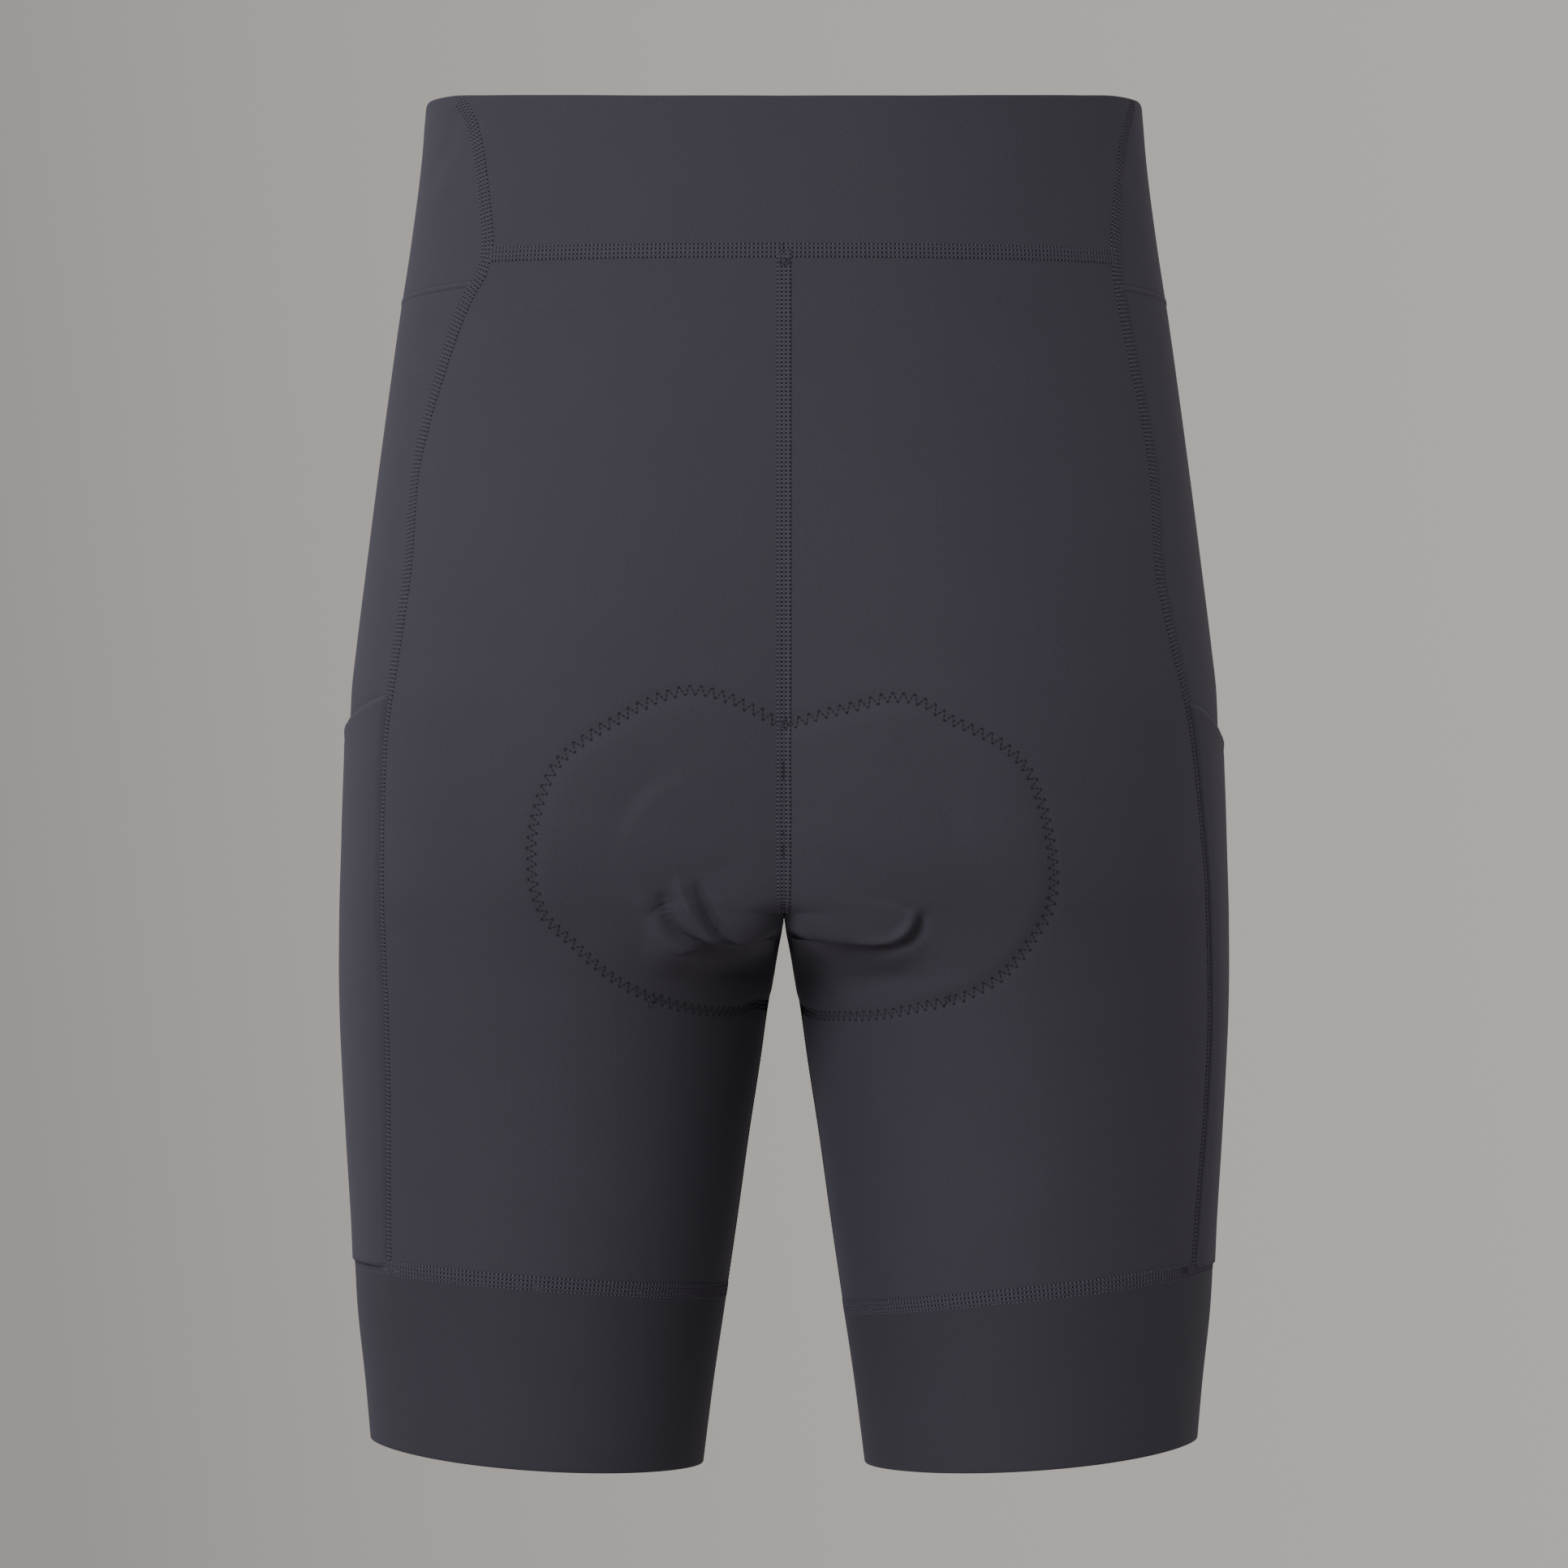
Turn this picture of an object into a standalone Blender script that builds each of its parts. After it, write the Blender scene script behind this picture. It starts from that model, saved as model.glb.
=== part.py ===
"""Cycling shorts in their worn, hollow form: a deep waistband in two pieces, two back panels, two
front panels, two side panels with an open pocket on each, two leg bands and a seat pad.

Every piece is a thin wall on one body surface. That surface is a stack of level ovals, one for each
leg. Above the crotch the two ovals overlap, and each is cut off at the middle of the body, which
gives the seams at the centre front and the centre back and the curve of the crotch seam.

Metres. The origin is the centre of the waistband ring, +Z is up, the seat faces -Y and +X is the
wearer's right. Tables are in millimetres.
"""

import math

import bmesh
import bpy
import numpy as np

MM = 0.001

# Cloth and seams
PANEL_WALL = 1.2 * MM
WAISTBAND_WALL = 1.7 * MM
LEG_BAND_WALL = 1.6 * MM
POCKET_WALL = 1.0 * MM
SEAM_GAP = 0.3 * MM
HALF_GAP = SEAM_GAP / 2
LEAST_FROM_MIDDLE = 0.9 * HALF_GAP
GAP_TURN = HALF_GAP / (90 * MM)

# Levels of the main edges
BACK_WAISTBAND_SEAM = -28.3 * MM
FRONT_WAISTBAND_SEAM_AT_BACK = -39 * MM
FRONT_WAISTBAND_SEAM_AT_SIDE = -43 * MM
FRONT_WAISTBAND_SEAM_AT_CENTRE = -52 * MM
SEAT_CURVE_START = -215 * MM
CROTCH_LEVEL = -270 * MM
CROTCH_ROW_AT_SIDE = -290 * MM
HEM_AT_OUTER_LEG = -468.5 * MM
HEM_AT_INNER_LEG = -477.8 * MM
HEM_DROP_BEHIND = 2.9 * MM

# Rows and columns of the panels. Rows lie closer together near the crotch, and the columns of the back
# panels lie closer together near the middle of the body.
PANEL_TOP_ROW = -57 * MM
LAST_PANEL_ROW = -386 * MM
CLOSE_ROWS_LEVEL = -280 * MM
CLOSE_ROWS_REACH = 35 * MM
ROW_CLOSENESS = 2
PANEL_ROWS_ABOVE_CROTCH = 23
PANEL_ROWS_BELOW_CROTCH = 11
INNER_LEG_STRETCH = 1.26
CROTCH_LINE_TOP = -170 * MM
CROTCH_LINE_RISE_IN_FRONT = 60 * MM
CROTCH_LINE_POINTS = 1500
CROTCH_LINE_SLOWING = 6
CLOSE_COLUMNS = 0.45
BACK_PANEL_COLUMNS = 17
FRONT_PANEL_COLUMNS = 14
SIDE_PANEL_COLUMNS = 7
LEG_BAND_COLUMNS = 32
LEG_BAND_ROWS = 5
LEG_BAND_LIFT = 0.4 * MM
BACK_WAISTBAND_COLUMNS = 9
FRONT_WAISTBAND_COLUMNS = 17

# Rows of the waistband, as shares of the way from its top edge to the back waistband's seam
WAISTBAND_ROWS = (0, 0.36, 0.72, 1)
WAISTBAND_TOP_GUESS = 30 * MM

# Pocket layer
POCKET_STAND = 0.25 * MM
POCKET_STAND_AT_MOUTH = 0.8 * MM
POCKET_STAND_REACH = 70 * MM
POCKET_FIRST_ROW = 4 * MM

# Seat pad
PAD_CLEARANCE_AT_STITCHING = 0.7 * MM
PAD_CLEARANCE = 2.8 * MM
PAD_FOLD_CLEARANCE = 3.6 * MM
PAD_FOLD_LEVEL = -279 * MM
PAD_FOLD_REACH = 16 * MM
PAD_EDGE_THICKNESS = 1.6 * MM
PAD_MIDDLE_THICKNESS = 8 * MM
PAD_TOP_NOTCH = -202 * MM
PAD_LENGTH = 292 * MM
PAD_LOBE_RISE = 13 * MM
PAD_LOBE_SHARE = 0.5
PAD_LOBE_REACH = 35 * MM
PAD_END_TAPER = (-2 * MM, 30 * MM)
PAD_MIDDLE_ROUNDING = 12 * MM
PAD_STITCHED_BEHIND = (35 * MM, 65 * MM)
PAD_STITCHED_SHARE = 0.7
PAD_ROWS = 32
PAD_HALF_COLUMNS = 11
PAD_CLOSE_ROWS_AT = 85 * MM
PAD_CLOSE_ROWS_REACH = 40 * MM
PAD_ROW_CLOSENESS = 1.3
PAD_COLUMN_BUNCHING = 1.15
PAD_NET_REACH = 110 * MM
PAD_NET_STEPS = 110
PAD_NET_STATIONS = 120
PAD_BULK = 1.4 * MM
PAD_BULK_PLACE = (48 * MM, -243 * MM)
PAD_BULK_REACH = 40 * MM

# Sides of the body, as the sign of x
LEFT = -1
RIGHT = 1
SIDE_NAMES = {LEFT: "left", RIGHT: "right"}

# Body ovals. The oval of one leg reaches from "inner" to "outer", with its deepest point at "middle".
# "squareness" 2 is an ellipse, and more is squarer. "seat_squareness" is that of the inner half
# behind: it fills the seat out across the middle, and down to a full lower edge over the inner legs.
OVAL_COLUMNS = (
    "level",
    "outer",
    "middle",
    "inner",
    "back",
    "front",
    "squareness",
    "seat_squareness",
    "outer_seat_squareness",
)
OVALS = (
    (-480, 153.8, 92.1, 31, 69, 67, 2.05, 2.05, 2.05),
    (-447, 156.7, 91.5, 26.8, 72, 70, 2.05, 2.05, 2.05),
    (-416, 159.9, 90.8, 22.2, 76, 74, 2.05, 2.05, 2.05),
    (-386, 161.3, 89.3, 17.8, 81, 78, 2.05, 2.05, 2.05),
    (-355, 163.2, 88.1, 13.5, 86, 82, 2.05, 2.05, 2.05),
    (-325, 164.8, 86.6, 8.9, 92, 87, 2.08, 2.08, 2.08),
    (-309, 165.4, 85.8, 6.7, 96, 90, 2.1, 2.12, 2.12),
    (-294, 165.6, 84.7, 4.3, 100, 92, 2.12, 2.2, 2.25),
    (-288, 165.55, 84, 3.3, 101.88, 92.82, 2.13, 2.8, 2.4),
    (-284, 165.49, 83.43, 2.6, 103.24, 93.36, 2.138, 4.4, 2.55),
    (-279, 165.4, 82.6, 1.6, 105, 94, 2.15, 7.5, 2.8),
    (-270, 165.2, 80.5, 0, 108.5, 95, 2.18, 10, 3.2),
    (-264, 165, 78.5, -22, 111, 95.5, 2.2, 7, 3.4),
    (-250, 164.4, 72, -60, 116, 96, 2.22, 3.9, 3.5),
    (-234, 163.8, 64, -96, 120, 97, 2.25, 2.8, 2.7),
    (-215, 163, 56, -119, 123, 98, 2.28, 2.35, 2.35),
    (-190, 162.2, 46, -132, 124.5, 99, 2.3, 2.3, 2.3),
    (-172, 160.3, 39, -141, 124, 99, 2.3, 2.3, 2.3),
    (-142, 156.6, 28, -147, 121.5, 101, 2.3, 2.3, 2.3),
    (-111, 152.7, 15, -149, 116.5, 103, 2.3, 2.3, 2.3),
    (-81, 148.7, 5, -148, 111, 104, 2.3, 2.3, 2.3),
    (-50, 144.4, 0, -144.4, 105, 103.5, 2.3, 2.3, 2.3),
    (-20, 139.8, 0, -139.8, 100.5, 102, 2.3, 2.3, 2.3),
    (11, 135.9, 0, -135.9, 97.5, 100, 2.3, 2.3, 2.3),
    (40, 133.6, 0, -133.6, 96, 99, 2.3, 2.3, 2.3),
)

# The seat squareness holds from this share of the way between a leg's middle and the centre.
NEAR_CENTRE = (0.38, 0.62)
TINY = 1e-9

# Distance from the middle of the body to the seam between the back and the side, on each side.
BACK_SEAM_COLUMNS = ("level", "left", "right")
BACK_SEAM = (
    (-410, 147.0, 152.0),
    (-375, 147.1, 154.4),
    (-345, 147.0, 156.8),
    (-310, 147.4, 158.1),
    (-265, 148.6, 156.8),
    (-235, 148.3, 154.2),
    (-205, 147.0, 150.9),
    (-188, 144.7, 147.6),
    (-165, 141.2, 142.0),
    (-143, 138.4, 138.0),
    (-111, 136.3, 136.6),
    (-90, 132.1, 133.7),
    (-70, 126.1, 129.6),
    (-52, 120.0, 126.0),
    (-42, 115.5, 124.2),
    (-34, 111.0, 122.9),
    (-24, 109.0, 122.4),
    (-8, 110.3, 123.4),
    (10, 112.6, 125.3),
    (22, 115.6, 127.8),
    (34, 123.5, 131.0),
)

# Level of the waistband's top edge by direction: 0 is the side, 90 the back, -90 the front.
WAIST_TOP_COLUMNS = ("degrees", "level")
WAIST_TOP = (
    (-90, 16.0),
    (-50, 18.5),
    (-20, 24.0),
    (0, 29.2),
    (10, 32.0),
    (20, 32.2),
    (30, 31.2),
    (45, 29.9),
    (65, 28.9),
    (90, 28.6),
)

# Levels of the seam above each leg band, at the outer side and at the inner leg.
BAND_SEAM_COLUMNS = ("outer", "inner")
BAND_SEAM = {
    LEFT: (-400.8, -412.4),
    RIGHT: (-402.0, -418.8),
}

# Level of each pocket's open edge by direction, from the front to the back seam.
POCKET_MOUTH_COLUMNS = ("degrees", "left", "right")
POCKET_MOUTH = (
    (-25, -210.0, -214.0),
    (0, -201.5, -206.5),
    (12, -200.5, -205.0),
    (20, -197.5, -201.0),
    (30, -193.0, -194.6),
    (40, -188.0, -190.0),
)

# Largest folds of the seat, where it tucks in between the legs: the path on the back view, how far
# the cloth moves out (or in, if negative) and how wide the fold is.
FOLD_COLUMNS = ("path", "height", "width")
FOLDS = (
    (((-4, -280), (-16, -287), (-31, -283), (-41, -273), (-44, -264)), -3.0, 5.0),
    (((-52, -262), (-50, -272), (-41, -283)), 1.4, 5.0),
    (((3, -277), (17, -283), (33, -283), (41, -279), (43, -268)), -2.8, 5.0),
    (((30, -287), (41, -287), (50, -281), (52, -272)), -1.2, 4.5),
)
# A fold dies out at the ends of its path, and what lies under the cloth gives way further.
FOLD_END_SHARE = 0.08
FOLD_FULLNESS = 0.6
UNDER_FOLD_SHARE = 1.45
FOLDS_FROM_DEPTH = 5 * MM
FOLDS_FULL_AT_DEPTH = 25 * MM

# Half-width of the seat pad at stations along the crotch seam, counted from the notch behind.
PAD_COLUMNS = ("station", "half_width")
PAD_OUTLINE = (
    (0, 64),
    (12, 82),
    (28, 94),
    (48, 98),
    (68, 94),
    (88, 83),
    (108, 68),
    (128, 52),
    (146, 42),
    (170, 38),
    (225, 38),
    (262, 34),
    (282, 24),
    (292, 10),
)

# Colours (linear) and roughness
KNIT_COLOUR = (0.041, 0.040, 0.052)
BAND_COLOUR = (0.036, 0.035, 0.046)
PAD_COLOUR = (0.060, 0.062, 0.075)
KNIT_ROUGHNESS = 0.85
PAD_ROUGHNESS = 0.9


def smooth_curve(knots, values, at):
    """A smooth curve through the values that never overshoots them; flat beyond its ends."""
    knots = np.asarray(knots, float)
    values = np.asarray(values, float)
    at = np.clip(at, knots[0], knots[-1])
    step = np.diff(knots)
    slope = np.diff(values) / step
    tangent = np.empty(len(knots))
    tangent[0] = slope[0]
    tangent[-1] = slope[-1]
    product = slope[:-1] * slope[1:]
    total = slope[:-1] + slope[1:]
    steady = product > 0
    tangent[1:-1] = np.where(steady, 2 * product / np.where(steady, total, 1), 0)
    cell = np.clip(np.searchsorted(knots, at, side="right") - 1, 0, len(knots) - 2)
    width = step[cell]
    t = (at - knots[cell]) / width
    start = (1 + 2 * t) * (1 - t) ** 2 * values[cell] + t * (1 - t) ** 2 * width * tangent[cell]
    end = t * t * (3 - 2 * t) * values[cell + 1] + t * t * (t - 1) * width * tangent[cell + 1]
    return start + end


def column(table, columns, name):
    """One named column of a table."""
    place = columns.index(name)
    return np.array([row[place] for row in table], float)


def oval_at(level, name):
    """One named size of the body ovals at a level, in metres (squareness has no unit)."""
    unit = 1 if name.endswith("squareness") else MM
    knots = column(OVALS, OVAL_COLUMNS, "level") * MM
    return smooth_curve(knots, column(OVALS, OVAL_COLUMNS, name) * unit, level)


def smooth_step(low, high, value):
    """0 below low, 1 above high and smooth between them."""
    t = np.clip((value - low) / (high - low), 0, 1)
    return t * t * (3 - 2 * t)


def body_point(angle, level):
    """The body surface on the wearer's right. The angle is 0 at the outer side, 90 degrees behind,
    180 at the inner leg and -90 in front."""
    middle = oval_at(level, "middle")
    cos = np.cos(angle)
    sin = np.sin(angle)
    outer = oval_at(level, "outer") - middle
    inner = middle - oval_at(level, "inner")
    half_width = np.where(cos > 0, outer, inner)
    depth = np.where(sin > 0, oval_at(level, "back"), oval_at(level, "front"))
    towards_centre = np.abs(cos) * depth / (np.maximum(np.abs(sin), TINY) * half_width)
    near_centre = smooth_step(*NEAR_CENTRE, towards_centre)
    outer_seat = oval_at(level, "outer_seat_squareness")
    seat = outer_seat + (oval_at(level, "seat_squareness") - outer_seat) * near_centre
    at_seat = (cos < 0) & (sin > 0)
    squareness = np.where(at_seat, seat, oval_at(level, "squareness"))
    reach = np.abs(cos / half_width) ** squareness + np.abs(sin / depth) ** squareness
    radius = reach ** (-1 / squareness)
    return np.stack([middle + radius * cos, -radius * sin, level + 0 * radius], axis=-1)


def body_normal(angle, level):
    """The direction that points out of the body surface, on the wearer's right."""
    turn = 1e-3
    rise = 1e-4
    around = body_point(angle + turn, level) - body_point(angle - turn, level)
    up = body_point(angle, level + rise) - body_point(angle, level - rise)
    normal = np.cross(up, around)
    return normal / np.linalg.norm(normal, axis=-1, keepdims=True)


def centre_angle(level, depth_name, gap):
    """The angle where an oval meets the middle of the body, or its innermost point below the crotch."""
    squareness = oval_at(level, "seat_squareness" if depth_name == "back" else "squareness")
    middle = oval_at(level, "middle")
    inner = middle - oval_at(level, "inner")
    share = np.clip((middle - gap) / inner, 0, 1)
    depth = oval_at(level, depth_name) * (1 - share**squareness) ** (1 / squareness)
    return np.minimum(np.arctan2(depth, gap - middle), math.pi - gap / inner)


def back_seam_place(level, side):
    """The distance from the middle of the body to the seam between back and side."""
    knots = column(BACK_SEAM, BACK_SEAM_COLUMNS, "level") * MM
    return smooth_curve(knots, column(BACK_SEAM, BACK_SEAM_COLUMNS, SIDE_NAMES[side]) * MM, level)


def seam_angle(level, side):
    """The angle of the seam between back and side."""
    return angle_of_width(back_seam_place(level, side), level, "back")


def angle_of_width(place, level, depth_name):
    """The angle of the point of an oval that is this far from the middle of the body."""
    squareness = oval_at(level, "squareness")
    middle = oval_at(level, "middle")
    share = (place - middle) / (oval_at(level, "outer") - middle)
    depth = oval_at(level, depth_name) * (1 - share**squareness) ** (1 / squareness)
    return np.arctan2(depth, place - middle)


def front_seam_angle(level):
    """The angle of the seam between front and side: the back seam's, turned to the front."""
    return -angle_of_width(back_seam_place(level, LEFT), level, "front")


def waist_top(angle):
    """The level of the waistband's top edge."""
    knots = np.radians(column(WAIST_TOP, WAIST_TOP_COLUMNS, "degrees"))
    return smooth_curve(knots, column(WAIST_TOP, WAIST_TOP_COLUMNS, "level") * MM, angle)


def front_waistband_seam(angle):
    """The level of the front waistband's lower seam, from behind the side to the centre front."""
    knots = np.radians((-90, 0, 30))
    levels = (
        FRONT_WAISTBAND_SEAM_AT_CENTRE,
        FRONT_WAISTBAND_SEAM_AT_SIDE,
        FRONT_WAISTBAND_SEAM_AT_BACK,
    )
    return smooth_curve(knots, levels, angle)


def band_level(side, name):
    """The level of the seam above a leg band at one of its two ends."""
    return BAND_SEAM[side][BAND_SEAM_COLUMNS.index(name)] * MM


def band_seam(angle, side):
    """The level of the seam above a leg band, which slopes down towards the inner leg."""
    outer = band_level(side, "outer")
    inner = band_level(side, "inner")
    return (outer + inner) / 2 + (outer - inner) / 2 * np.cos(angle)


def hem(angle):
    """The level of a leg's lower edge."""
    slope = (HEM_AT_OUTER_LEG - HEM_AT_INNER_LEG) / 2 * np.cos(angle)
    drop = HEM_DROP_BEHIND * np.sin(angle) ** 2
    return (HEM_AT_OUTER_LEG + HEM_AT_INNER_LEG) / 2 + slope - drop


def pocket_mouth(angle, side):
    """The level of a pocket's open edge, which slopes down towards the front."""
    knots = np.radians(column(POCKET_MOUTH, POCKET_MOUTH_COLUMNS, "degrees"))
    levels = column(POCKET_MOUTH, POCKET_MOUTH_COLUMNS, SIDE_NAMES[side]) * MM
    return smooth_curve(knots, levels, angle)


def path_points(path):
    """Points along a smooth line through a fold's own points, with each one's share of the way."""
    path = np.array(path, float) * MM
    knots = np.arange(len(path))
    share = np.linspace(0, 1, 25)
    at = share * (len(path) - 1)
    return np.stack([smooth_curve(knots, path[:, 0], at), smooth_curve(knots, path[:, 1], at)], -1), share


def fold_height(points, side, under=False):
    """How far the folds and the bulk of the pad move the cloth of the seat, at points of its right
    side. Only the back of the body has any. What lies under the cloth gives way a little more."""
    x = points[..., 0] * side
    level = points[..., 2]
    height = np.zeros(x.shape)
    for path, most, width in FOLDS:
        if under:
            most = min(most * UNDER_FOLD_SHARE, 0)
            width = width * UNDER_FOLD_SHARE
        line, share = path_points(path)
        away = np.hypot(x[..., None] - line[:, 0], level[..., None] - line[:, 1])
        nearest = away.min(axis=-1)
        along = share[away.argmin(axis=-1)]
        inward = FOLD_END_SHARE + (1 - 2 * FOLD_END_SHARE) * along
        taper = np.sin(np.pi * inward) ** FOLD_FULLNESS
        height += most * MM * taper * np.exp(-((nearest / (width * MM)) ** 2))
    bulk = np.hypot(np.abs(x) - PAD_BULK_PLACE[0], level - PAD_BULK_PLACE[1]) / PAD_BULK_REACH
    height += PAD_BULK * np.exp(-(bulk**2))
    return height * smooth_step(FOLDS_FROM_DEPTH, FOLDS_FULL_AT_DEPTH, -points[..., 1])


def wall_points(angle, level, side, wall, lift=0.0, folds=False):
    """The outer and the inner points of a wall on the body surface, mirrored to its side."""
    points = body_point(angle, level)
    normal = body_normal(angle, level)
    height = lift + (fold_height(points, side) if folds else 0)
    height = np.broadcast_to(height, points.shape[:-1])[..., None]
    outer = points + height * normal
    inner = outer - wall * normal
    for layer in (outer, inner):
        layer[..., 0] = np.maximum(layer[..., 0], LEAST_FROM_MIDDLE) if folds else layer[..., 0]
        layer[..., 0] *= side
    return outer, inner


def closed_wall(name, outer, inner, material, ring=False):
    """An object whose mesh is the wall between two grids of points: rows run down the piece and
    columns run round it. A ring's last column meets its first."""
    rows, columns = outer.shape[:2]
    work = bmesh.new()
    skins = []
    for layer in (outer, inner):
        skins.append([[work.verts.new(point) for point in row] for row in layer])
    last = columns if ring else columns - 1
    for skin in skins:
        for r in range(rows - 1):
            for c in range(last):
                d = (c + 1) % columns
                work.faces.new((skin[r][c], skin[r][d], skin[r + 1][d], skin[r + 1][c]))
    for r in (0, rows - 1):
        for c in range(last):
            d = (c + 1) % columns
            work.faces.new((skins[0][r][c], skins[0][r][d], skins[1][r][d], skins[1][r][c]))
    if not ring:
        for c in (0, columns - 1):
            for r in range(rows - 1):
                edge = (skins[0][r][c], skins[0][r + 1][c], skins[1][r + 1][c], skins[1][r][c])
                work.faces.new(edge)
    bmesh.ops.recalc_face_normals(work, faces=work.faces)
    mesh = bpy.data.meshes.new(name)
    work.to_mesh(mesh)
    work.free()
    mesh.shade_smooth()
    mesh.set_sharp_from_angle(angle=math.radians(50))
    mesh.materials.append(material)
    part = bpy.data.objects.new(name, mesh)
    bpy.context.scene.collection.objects.link(part)
    return part


def spaced(start, end, count, focus, reach, extra):
    """Levels from start to end, closer together near the focus."""
    fine = np.linspace(start, end, 400)
    density = 1 + extra * np.exp(-(((fine - focus) / reach) ** 2))
    total = np.concatenate([[0], np.cumsum((density[1:] + density[:-1]) / 2)])
    return np.interp(np.linspace(0, total[-1], count), total, fine)


def panel_levels():
    """The levels, at the side seams, of the rows that all the leg panels share. One of them ends at
    the crotch point."""
    close_rows = (CLOSE_ROWS_LEVEL, CLOSE_ROWS_REACH, ROW_CLOSENESS)
    above = spaced(PANEL_TOP_ROW, CROTCH_ROW_AT_SIDE, PANEL_ROWS_ABOVE_CROTCH, *close_rows)
    below = spaced(CROTCH_ROW_AT_SIDE, LAST_PANEL_ROW, PANEL_ROWS_BELOW_CROTCH, *close_rows)
    return np.concatenate([above, below[1:]])


def centre_level(level, depth_name):
    """The level of a row at the middle of the body. Rows lie evenly along the curve of the crotch
    seam, and below it they run down the inner leg."""
    share = np.clip((SEAT_CURVE_START - level) / (SEAT_CURVE_START - CROTCH_ROW_AT_SIDE), 0, 1)
    slowing = np.linspace(1, 0, CROTCH_LINE_POINTS) ** CROTCH_LINE_SLOWING
    line_level = CROTCH_LEVEL + (SEAT_CURVE_START - CROTCH_LEVEL) * slowing
    line_angle = centre_angle(line_level, depth_name, HALF_GAP)
    line = body_point(line_angle if depth_name == "back" else -line_angle, line_level)
    gone = np.concatenate([[0], np.cumsum(np.linalg.norm(np.diff(line, axis=0), axis=1))])
    curve = np.interp(share, gone / gone[-1], line_level)
    leg = CROTCH_LEVEL + (level - CROTCH_ROW_AT_SIDE) * INNER_LEG_STRETCH
    return np.where(level > SEAT_CURVE_START, level, np.where(level > CROTCH_ROW_AT_SIDE, curve, leg))


def closer_to_centre(count):
    """Shares of the way from the side seam to the centre seam, closer together near the centre."""
    left_to_go = 1 - np.linspace(0, 1, count)
    return 1 - left_to_go * (1 - CLOSE_COLUMNS + CLOSE_COLUMNS * left_to_go)


def make_leg_panel(name, side, behind, share, material):
    """A back or front panel, from the waistband to the leg band and from the side seam to the
    centre seam, the crotch seam and the inner leg."""
    levels = panel_levels()
    if behind:
        levels = np.concatenate([[FRONT_WAISTBAND_SEAM_AT_BACK], levels])
        top = BACK_WAISTBAND_SEAM - HALF_GAP
    else:
        top = FRONT_WAISTBAND_SEAM_AT_CENTRE - HALF_GAP
    bottom = band_level(side, "inner") + HALF_GAP
    side_rows = np.concatenate([[top], levels, [band_level(side, "outer")]])[:, None]
    depth_name = "back" if behind else "front"
    centre_rows = np.concatenate([[top], centre_level(levels, depth_name), [bottom]])[:, None]
    centre = centre_angle(centre_rows, depth_name, HALF_GAP)
    level = side_rows + (centre_rows - side_rows) * share**2
    for _ in range(5):
        seam = seam_angle(level, side) if behind else -front_seam_angle(level)
        angle = seam + GAP_TURN + (centre - seam - GAP_TURN) * share
        if not behind:
            level[0] = front_waistband_seam(-angle[0]) - HALF_GAP
        level[-1] = band_seam(angle[-1], side) + HALF_GAP
    turn = 1 if behind else -1
    outer, inner = wall_points(turn * angle, level, side, PANEL_WALL, folds=behind)
    return closed_wall(name, outer, inner, material)


def side_angle(level, side, share):
    """The angle of a point that is this share of the way from the front seam to the back seam."""
    front = front_seam_angle(level) + GAP_TURN
    back = seam_angle(level, side) - GAP_TURN
    return front + (back - front) * share


def side_grid(side, share):
    """The angles and levels of a side panel's grid, between its two seams."""
    levels = panel_levels()
    level = np.concatenate([[FRONT_WAISTBAND_SEAM_AT_SIDE], levels, [band_level(side, "outer")]])
    level = level[:, None] + 0 * share
    for _ in range(5):
        angle = side_angle(level, side, share)
        level[0] = front_waistband_seam(angle[0]) - HALF_GAP
        level[-1] = band_seam(angle[-1], side) + HALF_GAP
    return angle, level


def make_side_panel(name, side, share, material):
    angle, level = side_grid(side, share)
    outer, inner = wall_points(angle, level, side, PANEL_WALL)
    return closed_wall(name, outer, inner, material)


def make_pocket(name, side, share, material):
    """The pocket layer lies on the side panel from its open mouth down to the leg band, and stands
    off a little at the mouth."""
    angle, level = side_grid(side, share)
    mouth = pocket_mouth(angle[-1], side)
    for _ in range(5):
        mouth_angle = side_angle(mouth, side, share)
        mouth = pocket_mouth(mouth_angle, side)
    rows = level[:, 0] < mouth.min() - POCKET_FIRST_ROW
    angle = np.concatenate([mouth_angle[None, :], angle[rows]])
    level = np.concatenate([mouth[None, :], level[rows]])
    below = mouth[None, :] - level
    fade = np.exp(-((below / POCKET_STAND_REACH) ** 2))
    across = 1 - (2 * share - 1) ** 4
    lift = SEAM_GAP + POCKET_WALL + POCKET_STAND + POCKET_STAND_AT_MOUTH * fade * across
    outer, inner = wall_points(angle, level, side, POCKET_WALL, lift=lift)
    return closed_wall(name, outer, inner, material)


def make_leg_band(name, side, count, material):
    angle = np.linspace(0, 2 * math.pi, count, endpoint=False)
    share = np.linspace(0, 1, LEG_BAND_ROWS)[:, None]
    signed = np.where(angle > math.pi, angle - 2 * math.pi, angle)
    top = band_seam(signed, side) - HALF_GAP
    level = top + (hem(signed) - top) * share
    outer, inner = wall_points(signed + 0 * level, level, side, LEG_BAND_WALL, lift=LEG_BAND_LIFT)
    return closed_wall(name, outer, inner, material, ring=True)


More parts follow.
